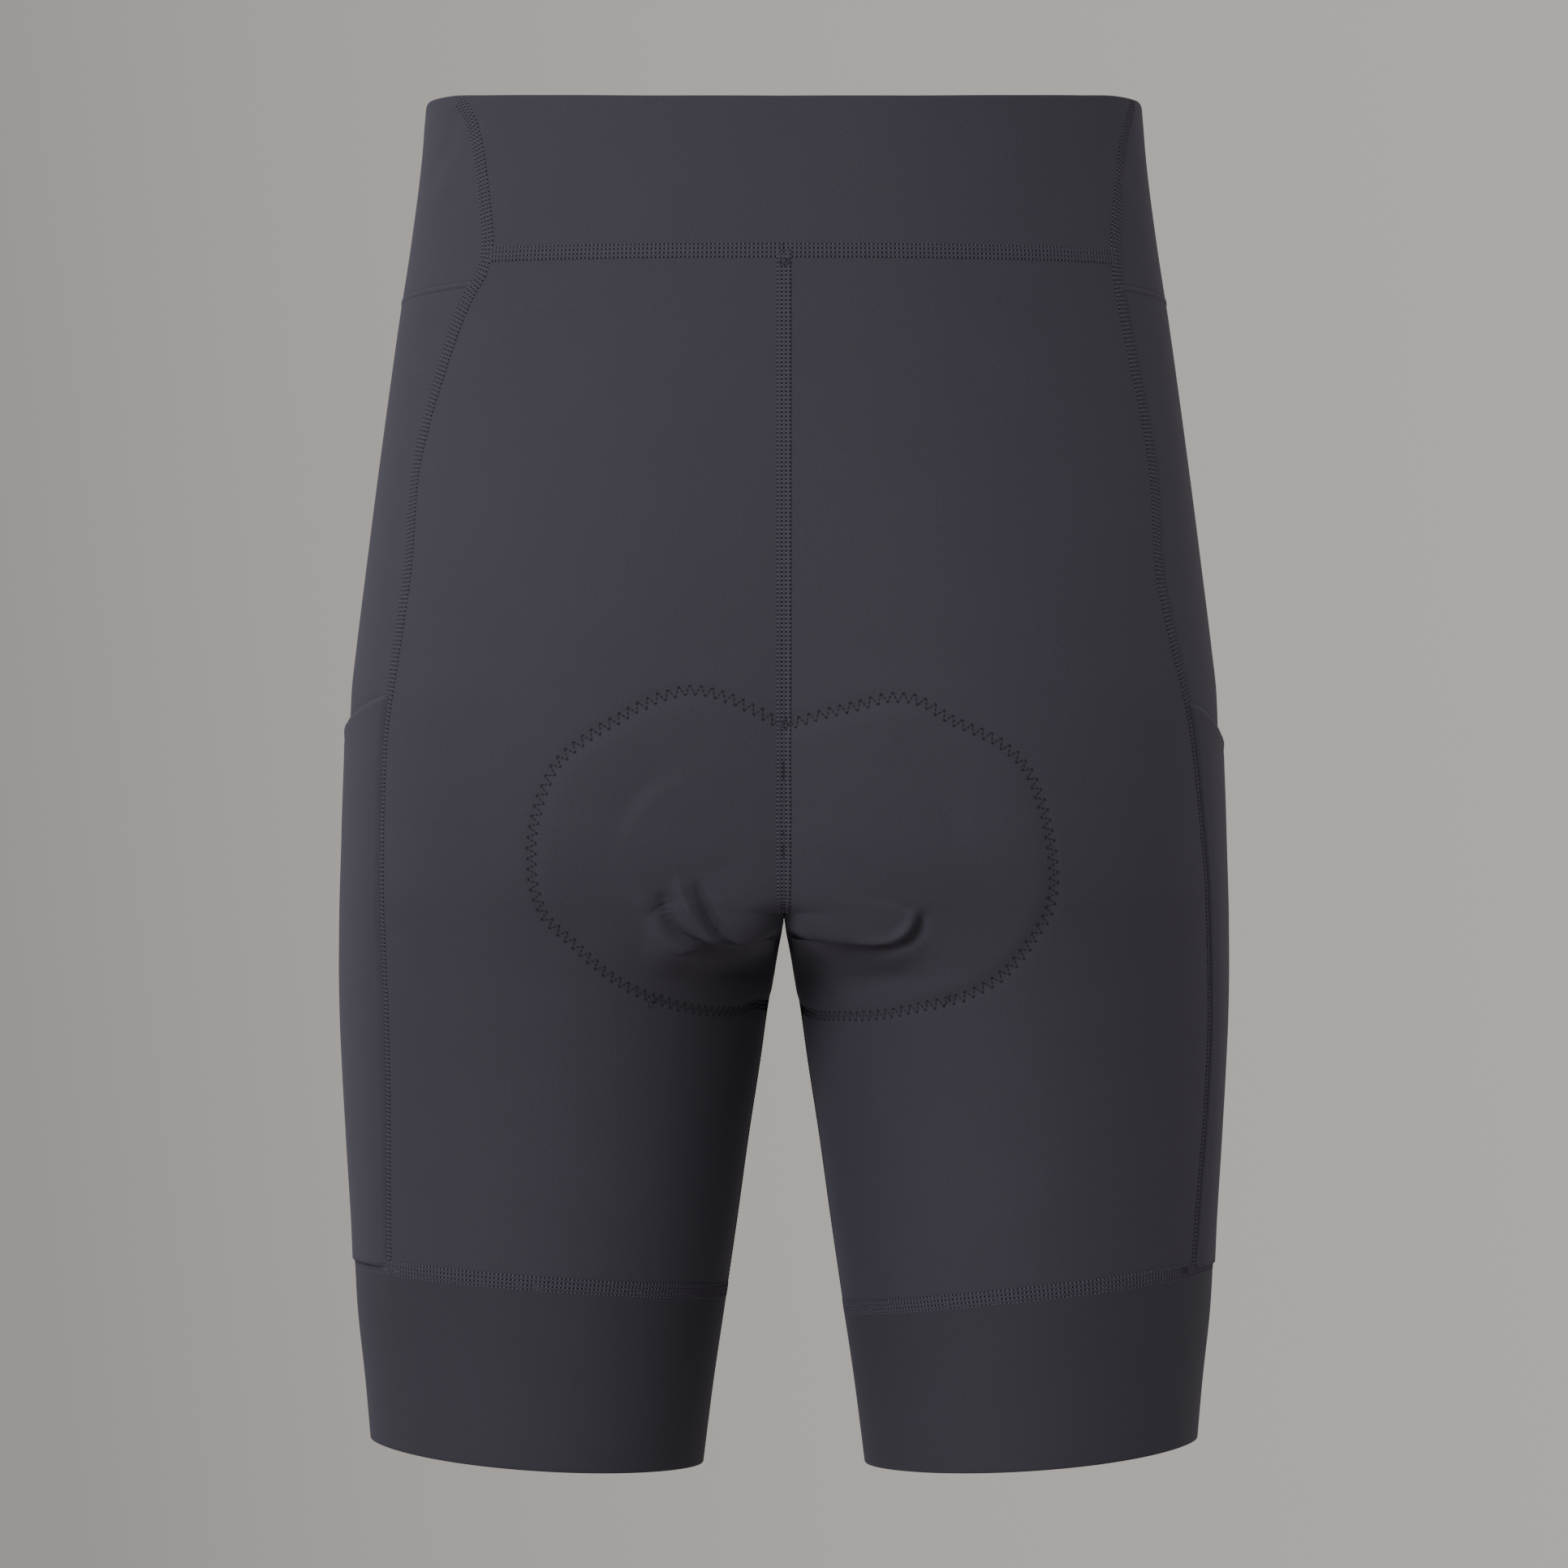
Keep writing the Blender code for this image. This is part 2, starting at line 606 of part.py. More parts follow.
def make_waistband(name, behind, count, material):
    """One piece between the two side seams, round the back or round the front."""
    share = np.linspace(0, 1, count)
    rows = np.array(WAISTBAND_ROWS)[:, None]
    turn = 1 if behind else -1
    halves = []
    for side in (LEFT, RIGHT):
        level = (WAISTBAND_TOP_GUESS + (BACK_WAISTBAND_SEAM - WAISTBAND_TOP_GUESS) * rows) + 0 * share
        if not behind:
            level = np.concatenate([level, level[-1:]])
        for _ in range(6):
            start = seam_angle(level, side) + turn * GAP_TURN
            angle = start + (turn * math.pi / 2 - start) * share
            top = waist_top(angle[0])
            low = BACK_WAISTBAND_SEAM + HALF_GAP
            if behind:
                level = top + (low - top) * rows
                continue
            edge = front_waistband_seam(angle[-1]) + HALF_GAP
            stretch = low + (edge + (low - edge[0]) - low) * share
            level = np.concatenate([top + (stretch - top) * rows, edge[None, :]])
        halves.append(wall_points(angle, level, side, WAISTBAND_WALL))
    outer, inner = (np.concatenate([halves[0][k], halves[1][k][:, -2::-1]], axis=1) for k in (0, 1))
    return closed_wall(name, outer, inner, material)


def crotch_line(count):
    """Angles and levels of evenly spaced stations along the crotch seam, from above the pad's notch
    behind, under the body and up the front, with each station's distance from the notch."""
    slowing = np.linspace(1, 0, CROTCH_LINE_POINTS)
    back_level = CROTCH_LEVEL + (CROTCH_LINE_TOP - CROTCH_LEVEL) * slowing**CROTCH_LINE_SLOWING
    front_level = back_level[::-1] + slowing[::-1] ** 3 * CROTCH_LINE_RISE_IN_FRONT
    level = np.concatenate([back_level, front_level[1:]])
    back_angle = centre_angle(back_level, "back", 0)
    front_angle = 2 * math.pi - centre_angle(front_level[1:], "front", 0)
    angle = np.concatenate([back_angle, front_angle])
    points = body_point(angle, level)
    gone = np.concatenate([[0], np.cumsum(np.linalg.norm(np.diff(points, axis=0), axis=1))])
    gone -= np.interp(-PAD_TOP_NOTCH, -back_level, gone[: len(back_level)])
    station = np.linspace(-24 * MM, PAD_LENGTH + 4 * MM, count)
    return np.interp(station, gone, angle), np.interp(station, gone, level), station


def laid_from_crotch(reach, steps, count):
    """A net of points on the body surface: from each station on the crotch seam a line runs square to
    the seam, out over the cloth. Gives the stations and each net point's angle and level."""
    angle, level, station = crotch_line(count)
    ahead = np.gradient(body_point(angle, level), axis=0)
    ahead[:, 0] = 0
    ahead /= np.linalg.norm(ahead, axis=1, keepdims=True)
    angles = [angle]
    levels = [level]
    step = reach / steps
    turn = 1e-3
    rise = 1e-4
    for _ in range(steps):
        around = (body_point(angle + turn, level) - body_point(angle - turn, level)) / (2 * turn)
        up = (body_point(angle, level + rise) - body_point(angle, level - rise)) / (2 * rise)
        normal = np.cross(up, around)
        across = np.cross(normal, ahead)
        across *= step / np.linalg.norm(across, axis=1, keepdims=True)
        aa = (around * around).sum(1)
        ab = (around * up).sum(1)
        bb = (up * up).sum(1)
        ad = (around * across).sum(1)
        bd = (up * across).sum(1)
        scale = aa * bb - ab * ab
        angle = angle + (ad * bb - bd * ab) / scale
        level = level + (bd * aa - ad * ab) / scale
        angles.append(angle)
        levels.append(level)
    return station, np.stack(angles, 1), np.stack(levels, 1)


def net_value(net, station, out, reach, stations):
    """A value of the net at a distance along the crotch seam and a distance out from it."""
    row = (station - stations[0]) / (stations[1] - stations[0])
    col = out / reach * (net.shape[1] - 1)
    r = np.clip(np.floor(row).astype(int), 0, net.shape[0] - 2)
    c = np.clip(np.floor(col).astype(int), 0, net.shape[1] - 2)
    a = row - r
    b = col - c
    upper = net[r, c] * (1 - b) + net[r, c + 1] * b
    lower = net[r + 1, c] * (1 - b) + net[r + 1, c + 1] * b
    return upper * (1 - a) + lower * a


def make_seat_pad(name, rows, half_columns, material):
    """The pad inside the seat: it lies along the crotch seam, with two lobes behind and a narrower
    front, and it is thin at its edge."""
    stations, angles, levels = laid_from_crotch(PAD_NET_REACH, PAD_NET_STEPS, PAD_NET_STATIONS)
    length = spaced(0, PAD_LENGTH, rows, PAD_CLOSE_ROWS_AT, PAD_CLOSE_ROWS_REACH, PAD_ROW_CLOSENESS)
    knots = column(PAD_OUTLINE, PAD_COLUMNS, "station") * MM
    width = smooth_curve(knots, column(PAD_OUTLINE, PAD_COLUMNS, "half_width") * MM, length)
    share = np.linspace(0, 1, half_columns) ** PAD_COLUMN_BUNCHING
    rise = PAD_LOBE_RISE * np.sin(np.clip(share / PAD_LOBE_SHARE, 0, 2) * math.pi / 2) ** 2
    station = length[:, None] - rise * np.exp(-((length[:, None] / PAD_LOBE_REACH) ** 2))
    out = width[:, None] * share
    angle = net_value(angles, station, out, PAD_NET_REACH, stations)
    level = net_value(levels, station, out, PAD_NET_REACH, stations)
    points = body_point(angle, level)
    normal = body_normal(angle, level)
    normal[..., 0] *= smooth_step(0, PAD_MIDDLE_ROUNDING, out)
    normal /= np.linalg.norm(normal, axis=-1, keepdims=True)
    points[:, 0, 0] = 0
    taper = (1 - share**4) * smooth_step(*PAD_END_TAPER, length)[:, None]
    taper = taper * smooth_step(*PAD_END_TAPER, PAD_LENGTH - length)[:, None]
    thickness = PAD_EDGE_THICKNESS + (PAD_MIDDLE_THICKNESS - PAD_EDGE_THICKNESS) * taper
    behind = 1 - smooth_step(*PAD_STITCHED_BEHIND, length)[:, None]
    stitched = smooth_step(PAD_STITCHED_SHARE, 1, share) * behind
    clearance = PAD_CLEARANCE + (PAD_CLEARANCE_AT_STITCHING - PAD_CLEARANCE) * stitched
    from_fold = (level - PAD_FOLD_LEVEL) / PAD_FOLD_REACH
    clearance = clearance + PAD_FOLD_CLEARANCE * np.exp(-(from_fold**2))
    layers = []
    for side in (LEFT, RIGHT):
        tuck = fold_height(points, side, under=True)
        outer = points + (tuck - PANEL_WALL - clearance)[..., None] * normal
        inner = outer - thickness[..., None] * normal
        outer[..., 0] = np.maximum(outer[..., 0], 0) * side
        inner[..., 0] = np.maximum(inner[..., 0], 0) * side
        layers.append((outer, inner))
    outer, inner = (np.concatenate([layers[0][k][:, :0:-1], layers[1][k]], axis=1) for k in (0, 1))
    return closed_wall(name, outer, inner, material)


def make_material(name, colour, roughness):
    material = bpy.data.materials.new(name)
    material.use_nodes = True
    shader = material.node_tree.nodes["Principled BSDF"]
    shader.inputs["Base Color"].default_value = (*colour, 1)
    shader.inputs["Roughness"].default_value = roughness
    shader.inputs["Metallic"].default_value = 0
    material.diffuse_color = (*colour, 1)
    return material


def clear_scene():
    for old in list(bpy.data.objects):
        bpy.data.objects.remove(old, do_unlink=True)


def make_shorts():
    clear_scene()
    bpy.context.scene.unit_settings.scale_length = 1.0
    back_share = closer_to_centre(BACK_PANEL_COLUMNS)
    front_share = closer_to_centre(FRONT_PANEL_COLUMNS)
    even_side = np.linspace(0, 1, SIDE_PANEL_COLUMNS)
    for side, word in SIDE_NAMES.items():
        knit = make_material("knit_" + word, KNIT_COLOUR, KNIT_ROUGHNESS)
        band = make_material("band_" + word, BAND_COLOUR, KNIT_ROUGHNESS)
        make_leg_panel("back_panel_" + word, side, True, back_share, knit)
        make_leg_panel("front_panel_" + word, side, False, front_share, knit)
        make_side_panel("side_panel_" + word, side, even_side, knit)
        make_pocket("side_pocket_" + word, side, even_side, knit)
        make_leg_band("leg_band_" + word, side, LEG_BAND_COLUMNS, band)
    waistband = make_material("waistband", BAND_COLOUR, KNIT_ROUGHNESS)
    make_waistband("back_waistband", True, BACK_WAISTBAND_COLUMNS, waistband)
    make_waistband("front_waistband", False, FRONT_WAISTBAND_COLUMNS, waistband)
    pad = make_material("pad", PAD_COLOUR, PAD_ROUGHNESS)
    make_seat_pad("seat_pad", PAD_ROWS, PAD_HALF_COLUMNS, pad)


make_shorts()
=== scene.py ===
# Looks for a pair of cycling shorts in their worn form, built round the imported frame.
# Tables are in millimetres, meshes in metres. +Z is up, the seat faces -Y, +X is the wearer's right.
import math
import bpy
import numpy as np
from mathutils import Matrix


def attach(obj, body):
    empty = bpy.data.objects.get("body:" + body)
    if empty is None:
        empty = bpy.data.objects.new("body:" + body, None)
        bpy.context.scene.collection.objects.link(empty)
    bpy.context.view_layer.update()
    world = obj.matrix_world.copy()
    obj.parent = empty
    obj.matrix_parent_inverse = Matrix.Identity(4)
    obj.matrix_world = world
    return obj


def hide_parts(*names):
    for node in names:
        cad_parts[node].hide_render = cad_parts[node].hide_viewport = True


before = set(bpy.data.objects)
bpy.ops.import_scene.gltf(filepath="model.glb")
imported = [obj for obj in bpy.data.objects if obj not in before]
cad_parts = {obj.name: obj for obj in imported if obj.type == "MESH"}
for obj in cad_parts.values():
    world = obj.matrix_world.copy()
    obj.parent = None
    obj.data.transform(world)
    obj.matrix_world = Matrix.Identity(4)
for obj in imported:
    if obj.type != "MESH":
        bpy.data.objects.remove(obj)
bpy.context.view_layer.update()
mm = 0.001
left = -1
right = 1
sideWord = {left: "left", right: "right"}
print("frame loaded:", len(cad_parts), "nodes")


# body surface: one stack of level ovals for each leg, cut off at the middle of the body
bodyForm = {
    # level, outer, middle, inner, back, front, squareness, squareness of the inner half behind near
    # the centre and further out
    "ovals": np.array([
        (-480, 153.8, 92.1, 31, 69, 67, 2.05, 2.05, 2.05),
        (-447, 156.7, 91.5, 26.8, 72, 70, 2.05, 2.05, 2.05),
        (-416, 159.9, 90.8, 22.2, 76, 74, 2.05, 2.05, 2.05),
        (-386, 161.3, 89.3, 17.8, 81, 78, 2.05, 2.05, 2.05),
        (-355, 163.2, 88.1, 13.5, 86, 82, 2.05, 2.05, 2.05),
        (-325, 164.8, 86.6, 8.9, 92, 87, 2.08, 2.08, 2.08),
        (-309, 165.4, 85.8, 6.7, 96, 90, 2.1, 2.12, 2.12),
        (-294, 165.6, 84.7, 4.3, 100, 92, 2.12, 2.2, 2.25),
        (-288, 165.55, 84, 3.3, 101.88, 92.82, 2.13, 2.8, 2.4),
        (-284, 165.49, 83.43, 2.6, 103.24, 93.36, 2.138, 4.4, 2.55),
        (-279, 165.4, 82.6, 1.6, 105, 94, 2.15, 7.5, 2.8), (-270, 165.2, 80.5, 0, 108.5, 95, 2.18, 10, 3.2),
        (-264, 165, 78.5, -22, 111, 95.5, 2.2, 7, 3.4), (-250, 164.4, 72, -60, 116, 96, 2.22, 3.9, 3.5),
        (-234, 163.8, 64, -96, 120, 97, 2.25, 2.8, 2.7), (-215, 163, 56, -119, 123, 98, 2.28, 2.35, 2.35),
        (-190, 162.2, 46, -132, 124.5, 99, 2.3, 2.3, 2.3), (-172, 160.3, 39, -141, 124, 99, 2.3, 2.3, 2.3),
        (-142, 156.6, 28, -147, 121.5, 101, 2.3, 2.3, 2.3),
        (-111, 152.7, 15, -149, 116.5, 103, 2.3, 2.3, 2.3),
        (-81, 148.7, 5, -148, 111, 104, 2.3, 2.3, 2.3), (-50, 144.4, 0, -144.4, 105, 103.5, 2.3, 2.3, 2.3),
        (-20, 139.8, 0, -139.8, 100.5, 102, 2.3, 2.3, 2.3),
        (11, 135.9, 0, -135.9, 97.5, 100, 2.3, 2.3, 2.3),
        (40, 133.6, 0, -133.6, 96, 99, 2.3, 2.3, 2.3),
    ]),
    # level, distance from the middle to the back seam on the left and on the right
    "backSeam": np.array([
        (-410, 147.0, 152.0), (-375, 147.1, 154.4), (-345, 147.0, 156.8), (-310, 147.4, 158.1),
        (-265, 148.6, 156.8), (-235, 148.3, 154.2), (-205, 147.0, 150.9), (-188, 144.7, 147.6),
        (-165, 141.2, 142.0), (-143, 138.4, 138.0), (-111, 136.3, 136.6), (-90, 132.1, 133.7),
        (-70, 126.1, 129.6), (-52, 120.0, 126.0), (-42, 115.5, 124.2), (-34, 111.0, 122.9),
        (-24, 109.0, 122.4), (-8, 110.3, 123.4), (10, 112.6, 125.3), (22, 115.6, 127.8),
        (34, 123.5, 131.0),
    ]),
    # degrees round the body (0 side, 90 back, -90 front), level of the top edge
    "waistTop": np.array([
        (-90, 16.0), (-50, 18.5), (-20, 24.0), (0, 29.2), (10, 32.0), (20, 32.2), (30, 31.2),
        (45, 29.9), (65, 28.9), (90, 28.6),
    ]),
    "ovalColumns": ("level", "outer", "middle", "inner", "back", "front", "squareness", "seatSquareness",
                    "outerSeatSquareness"),
    "nearCentre": (0.38, 0.62),
    "backWaistSeam": -28.3,
    "frontWaistSeam": ((-90, -52), (0, -43), (30, -39)),
    "seatCurveStart": -215,
    "crotch": -270,
    "crotchRowAtSide": -290,
    "hem": (-468.5, -477.8, 2.9),
    "bandSeam": {left: (-400.8, -412.4), right: (-402.0, -418.8)},
    # degrees, level on the left and on the right
    "pocketMouth": np.array([
        (-25, -210.0, -214.0), (0, -201.5, -206.5), (12, -200.5, -205.0), (20, -197.5, -201.0),
        (30, -193.0, -194.6), (40, -188.0, -190.0),
    ]),
    "gap": 0.3,
}
halfGap = bodyForm["gap"] * mm / 2
gapTurn = halfGap / (90 * mm)
crotchLevel = bodyForm["crotch"] * mm
crotchRow = bodyForm["crotchRowAtSide"] * mm
backWaistSeam = bodyForm["backWaistSeam"] * mm


# smooth curve through the values that never overshoots them: cubic pieces with harmonic-mean slopes
def smoothCurve(knots, values, at):
    knots = np.asarray(knots, float)
    values = np.asarray(values, float)
    at = np.clip(at, knots[0], knots[-1])
    step = np.diff(knots)
    slope = np.diff(values) / step
    tangent = np.empty(len(knots))
    tangent[0] = slope[0]
    tangent[-1] = slope[-1]
    product = slope[:-1] * slope[1:]
    steady = product > 0
    total = np.where(steady, slope[:-1] + slope[1:], 1)
    tangent[1:-1] = np.where(steady, 2 * product / total, 0)
    cell = np.clip(np.searchsorted(knots, at, side="right") - 1, 0, len(knots) - 2)
    width = step[cell]
    t = (at - knots[cell]) / width
    start = (1 + 2 * t) * (1 - t) ** 2 * values[cell] + t * (1 - t) ** 2 * width * tangent[cell]
    end = t * t * (3 - 2 * t) * values[cell + 1] + t * t * (t - 1) * width * tangent[cell + 1]
    return start + end


def ovalAt(level, name):
    ovals = bodyForm["ovals"]
    unit = 1 if name.endswith("quareness") else mm
    return smoothCurve(ovals[:, 0] * mm, ovals[:, bodyForm["ovalColumns"].index(name)] * unit, level)


def smoothStep(low, high, value):
    t = np.clip((value - low) / (high - low), 0, 1)
    return t * t * (3 - 2 * t)


# length gone along a line of points
def lengthAlong(points):
    return np.concatenate([[0], np.cumsum(np.linalg.norm(np.diff(points, axis=0), axis=1))])


# point of the wearer's right half: a superellipse round the oval's middle, angle 0 outer side,
# 90 behind, 180 inner leg, -90 in front
def bodyPoint(angle, level):
    middle = ovalAt(level, "middle")
    cos = np.cos(angle)
    sin = np.sin(angle)
    halfWidth = np.where(cos > 0, ovalAt(level, "outer") - middle, middle - ovalAt(level, "inner"))
    depth = np.where(sin > 0, ovalAt(level, "back"), ovalAt(level, "front"))
    towardsCentre = np.abs(cos) * depth / (np.maximum(np.abs(sin), 1e-9) * halfWidth)
    nearCentre = smoothStep(*bodyForm["nearCentre"], towardsCentre)
    outerSeat = ovalAt(level, "outerSeatSquareness")
    seat = outerSeat + (ovalAt(level, "seatSquareness") - outerSeat) * nearCentre
    squareness = np.where((cos < 0) & (sin > 0), seat, ovalAt(level, "squareness"))
    radius = (np.abs(cos / halfWidth) ** squareness + np.abs(sin / depth) ** squareness) ** (-1 / squareness)
    return np.stack([middle + radius * cos, -radius * sin, level + 0 * radius], axis=-1)


# the two directions of the surface, per radian and per metre of level, from small differences
def bodySlopes(angle, level):
    turn = 1e-3
    rise = 1e-4
    around = (bodyPoint(angle + turn, level) - bodyPoint(angle - turn, level)) / (2 * turn)
    up = (bodyPoint(angle, level + rise) - bodyPoint(angle, level - rise)) / (2 * rise)
    return around, up


def unit(vector):
    return vector / np.linalg.norm(vector, axis=-1, keepdims=True)


def bodyNormal(angle, level):
    around, up = bodySlopes(angle, level)
    return unit(np.cross(up, around))


# angle where an oval meets the middle of the body, or its innermost point below the crotch
def centreAngle(level, depthName, gap):
    squareness = ovalAt(level, "seatSquareness" if depthName == "back" else "squareness")
    middle = ovalAt(level, "middle")
    inner = middle - ovalAt(level, "inner")
    share = np.clip((middle - gap) / inner, 0, 1)
    depth = ovalAt(level, depthName) * (1 - share**squareness) ** (1 / squareness)
    return np.minimum(np.arctan2(depth, gap - middle), math.pi - gap / inner)


def angleOfWidth(place, level, depthName):
    squareness = ovalAt(level, "squareness")
    middle = ovalAt(level, "middle")
    share = (place - middle) / (ovalAt(level, "outer") - middle)
    depth = ovalAt(level, depthName) * (1 - share**squareness) ** (1 / squareness)
    return np.arctan2(depth, place - middle)


def backSeamAngle(level, side):
    table = bodyForm["backSeam"] * mm
    return angleOfWidth(smoothCurve(table[:, 0], table[:, 1 if side == left else 2], level), level, "back")


def frontSeamAngle(level):
    table = bodyForm["backSeam"] * mm
    return -angleOfWidth(smoothCurve(table[:, 0], table[:, 1], level), level, "front")


def waistTop(angle):
    table = bodyForm["waistTop"]
    return smoothCurve(np.radians(table[:, 0]), table[:, 1] * mm, angle)


def frontWaistSeam(angle):
    table = np.array(bodyForm["frontWaistSeam"], float)
    return smoothCurve(np.radians(table[:, 0]), table[:, 1] * mm, angle)


def bandSeam(angle, side):
    outer, inner = (value * mm for value in bodyForm["bandSeam"][side])
    return (outer + inner) / 2 + (outer - inner) / 2 * np.cos(angle)


def hemLevel(angle):
    outer, inner, drop = (value * mm for value in bodyForm["hem"])
    return (outer + inner) / 2 + (outer - inner) / 2 * np.cos(angle) - drop * np.sin(angle) ** 2


def pocketMouth(angle, side):
    table = bodyForm["pocketMouth"]
    return smoothCurve(np.radians(table[:, 0]), table[:, 1 if side == left else 2] * mm, angle)


# cloth relief: how far each point of the cloth stands off the body surface
folds = {
    # behind: side, path (distance from the middle, level), height, width
    "behind": (
        (left, ((44.0, -264.4), (40.8, -273.7), (37.5, -277.8), (33.9, -280.2), (29.1, -282.6),
                (23.8, -284.4), (18.1, -285.6), (13.4, -285), (8.3, -282.3), (3.8, -280)), -4.8, 2.3),
        (left, ((38.4, -258.8), (36.0, -265.3), (32.7, -271.3), (27.9, -277.8), (22.6, -282.6)), 2.4, 2.1),
        (left, ((31.5, -260.0), (29.4, -265.9), (25.9, -273.1), (21.4, -279.6), (17.2, -283.2)), -3.4, 1.9),
        (left, ((52.4, -262.9), (48.8, -271.9), (43.4, -278.7), (36.0, -283.8)), 1.4, 3.6),
        (right, ((23.6, -283.8), (31.1, -283.8), (38.5, -282.6), (44.5, -280.2), (48.9, -275.7),
                 (50.7, -271.3)), -3.8, 2.2),
        (right, ((2.8, -278.4), (10.2, -281.4), (19.2, -283.2), (28.4, -284.1), (36, -283.6)), -3.0, 2.2),
        (right, ((28.1, -281.4), (37.6, -280.8), (42.4, -277.8), (45.4, -274.3), (47.2, -269.5)), 2.2, 1.9),
        (right, ((24, -290.6), (34, -292), (45, -291)), -0.4, 2.6),
        (left, ((0, -280), (5, -285), (11, -289), (19, -290.5), (27, -289)), -2.6, 3.4),
        (right, ((0, -279), (6, -284), (14, -287.5), (24, -289)), -2.4, 3.2),
        (left, ((2, -250), (10, -252), (20, -256), (30, -260), (40, -264), (46, -267)), 0.6, 4.5),
        (right, ((2, -250), (10, -252), (20, -256), (30, -260), (40, -264), (46, -267)), 0.6, 4.5),
    ),
    # in front, where the photo shows nothing: the same kind of folds, softer
    "infront": (
        (left, ((4, -268), (16, -266), (28, -258), (36, -247)), -1.8, 4.2),
        (left, ((5, -258), (15, -254), (24, -246)), -1.0, 3.6),
        (left, ((10, -274), (24, -273), (38, -266), (48, -256)), 0.9, 4.5),
        (right, ((4, -266), (14, -266), (26, -260), (35, -250), (40, -240)), -1.6, 4.6),
        (right, ((6, -276), (20, -277), (36, -272)), -1.0, 4.0),
        (right, ((12, -258), (24, -251), (31, -242)), 0.7, 4.0),
    ),
    "padBulk": (1.4, 48, -243, 40),
}


def pathPoints(path):
    path = np.array(path, float) * mm
    share = np.linspace(0, 1, 41)
    at = share * (len(path) - 1)
    knots = np.arange(len(path))
    return np.stack([smoothCurve(knots, path[:, 0], at), smoothCurve(knots, path[:, 1], at)], -1), share


# each fold is a bell-shaped trough or ridge across its path that dies out at the path's ends
def foldHeight(points, side):
    x = np.abs(points[..., 0])
    level = points[..., 2]
    total = np.zeros(x.shape)
    for name, facing in (("behind", -points[..., 1]), ("infront", points[..., 1])):
        height = np.zeros(x.shape)
        for foldSide, path, most, width in folds[name]:
            if foldSide != side:
                continue
            line, share = pathPoints(path)
            away = np.hypot(x[..., None] - line[:, 0], level[..., None] - line[:, 1])
            along = share[away.argmin(axis=-1)]
            taper = np.sin(np.pi * np.clip(0.06 + 0.88 * along, 0, 1)) ** 0.7
            height += most * mm * taper * np.exp(-((away.min(axis=-1) / (width * mm)) ** 2))
        if name == "behind":
            most, across, up, reach = folds["padBulk"]
            bulk = np.hypot(x - across * mm, level - up * mm) / (reach * mm)
            height += most * mm * np.exp(-(bulk**2))
        total += height * smoothStep(5 * mm, 25 * mm, facing)
    return total


# net over the seat: distance along the crotch seam, distance out from it
padShape = {
    "notch": -202, "length": 292, "reach": 118,
    # half-width by distance from the notch, as in the frame
    "outline": np.array([
        (0, 64), (12, 82), (28, 94), (48, 98), (68, 94), (88, 83), (108, 68), (128, 52), (146, 42),
        (170, 38), (225, 38), (262, 34), (282, 24), (292, 10),
    ], float),
    "lobeRise": 13, "lobeShare": 0.5,
    "edge": 1.6, "middle": 8, "clearance": 2.8, "stitchedClearance": 0.7, "foldClearance": (3.6, -279, 16),
    # stitched line: along, out
    "stitchLine": {
        left: ((0, 0.2), (-5.5, 10), (-10.6, 21), (-13.2, 33), (-10.6, 45), (-2.5, 61), (5.6, 74),
               (16.3, 84.5), (29.8, 89.5), (43.2, 92), (54, 92), (62, 90.5), (67.4, 88), (71, 82),
               (75.5, 74), (81.5, 66), (89, 59), (99.7, 52), (115, 44.5), (142.7, 36.5), (175, 36.5),
               (225, 37), (260, 33), (278, 25), (289, 12), (291.5, 0.2)),
        right: ((0, 0.2), (-5.2, 17), (-7.9, 28), (-10.6, 39), (-10.3, 46), (-2.5, 61), (5.6, 78),
                (16.3, 89), (32.5, 95), (48.6, 98), (58, 98.5), (66, 97.5), (71.5, 94), (75, 88),
                (78.5, 79), (84.5, 67.5), (97, 56), (118.5, 45), (150, 39), (175, 37.5), (225, 37),
                (260, 33), (278, 25), (289, 12), (291.5, 0.2)),
    },
}


# solves for the small turn and rise that move a point of the surface by "move"
def stepOver(angle, level, move):
    around, up = bodySlopes(angle, level)
    aa = (around * around).sum(-1)
    ab = (around * up).sum(-1)
    bb = (up * up).sum(-1)
    ad = (around * move).sum(-1)
    bd = (up * move).sum(-1)
    scale = aa * bb - ab * ab
    return angle + (ad * bb - bd * ab) / scale, level + (bd * aa - ad * ab) / scale


# lines that run square out from a path over the surface, on the side given by "turn"
def laidAcross(angle, level, ahead, turn, offsets):
    angles = []
    levels = []
    gone = 0.0
    for offset in offsets:
        steps = max(1, math.ceil((offset - gone) / (1.0 * mm) - 1e-6)) if offset > gone else 0
        for _ in range(steps):
            around, up = bodySlopes(angle, level)
            across = unit(np.cross(np.cross(up, around), ahead)) * turn
            angle, level = stepOver(angle, level, across * (offset - gone) / steps)
        gone = offset
        angles.append(angle)
        levels.append(level)
    return np.stack(angles, 1), np.stack(levels, 1)


crotchPath = {"points": 1500, "from": -150, "frontRise": 60}


# the crotch seam from above the notch behind, under the body and up the front
def crotchLine(station):
    slowing = np.linspace(1, 0, crotchPath["points"])
    backLevel = crotchLevel + (crotchPath["from"] * mm - crotchLevel) * slowing**6
    frontLevel = backLevel[::-1] + (slowing[::-1] ** 3) * crotchPath["frontRise"] * mm
    level = np.concatenate([backLevel, frontLevel[1:]])
    angle = np.concatenate([
        centreAngle(backLevel, "back", 0), 2 * math.pi - centreAngle(frontLevel[1:], "front", 0)])
    gone = lengthAlong(bodyPoint(angle, level))
    gone -= np.interp(-padShape["notch"] * mm, -backLevel, gone[: len(backLevel)])
    return np.interp(station, gone, angle), np.interp(station, gone, level)


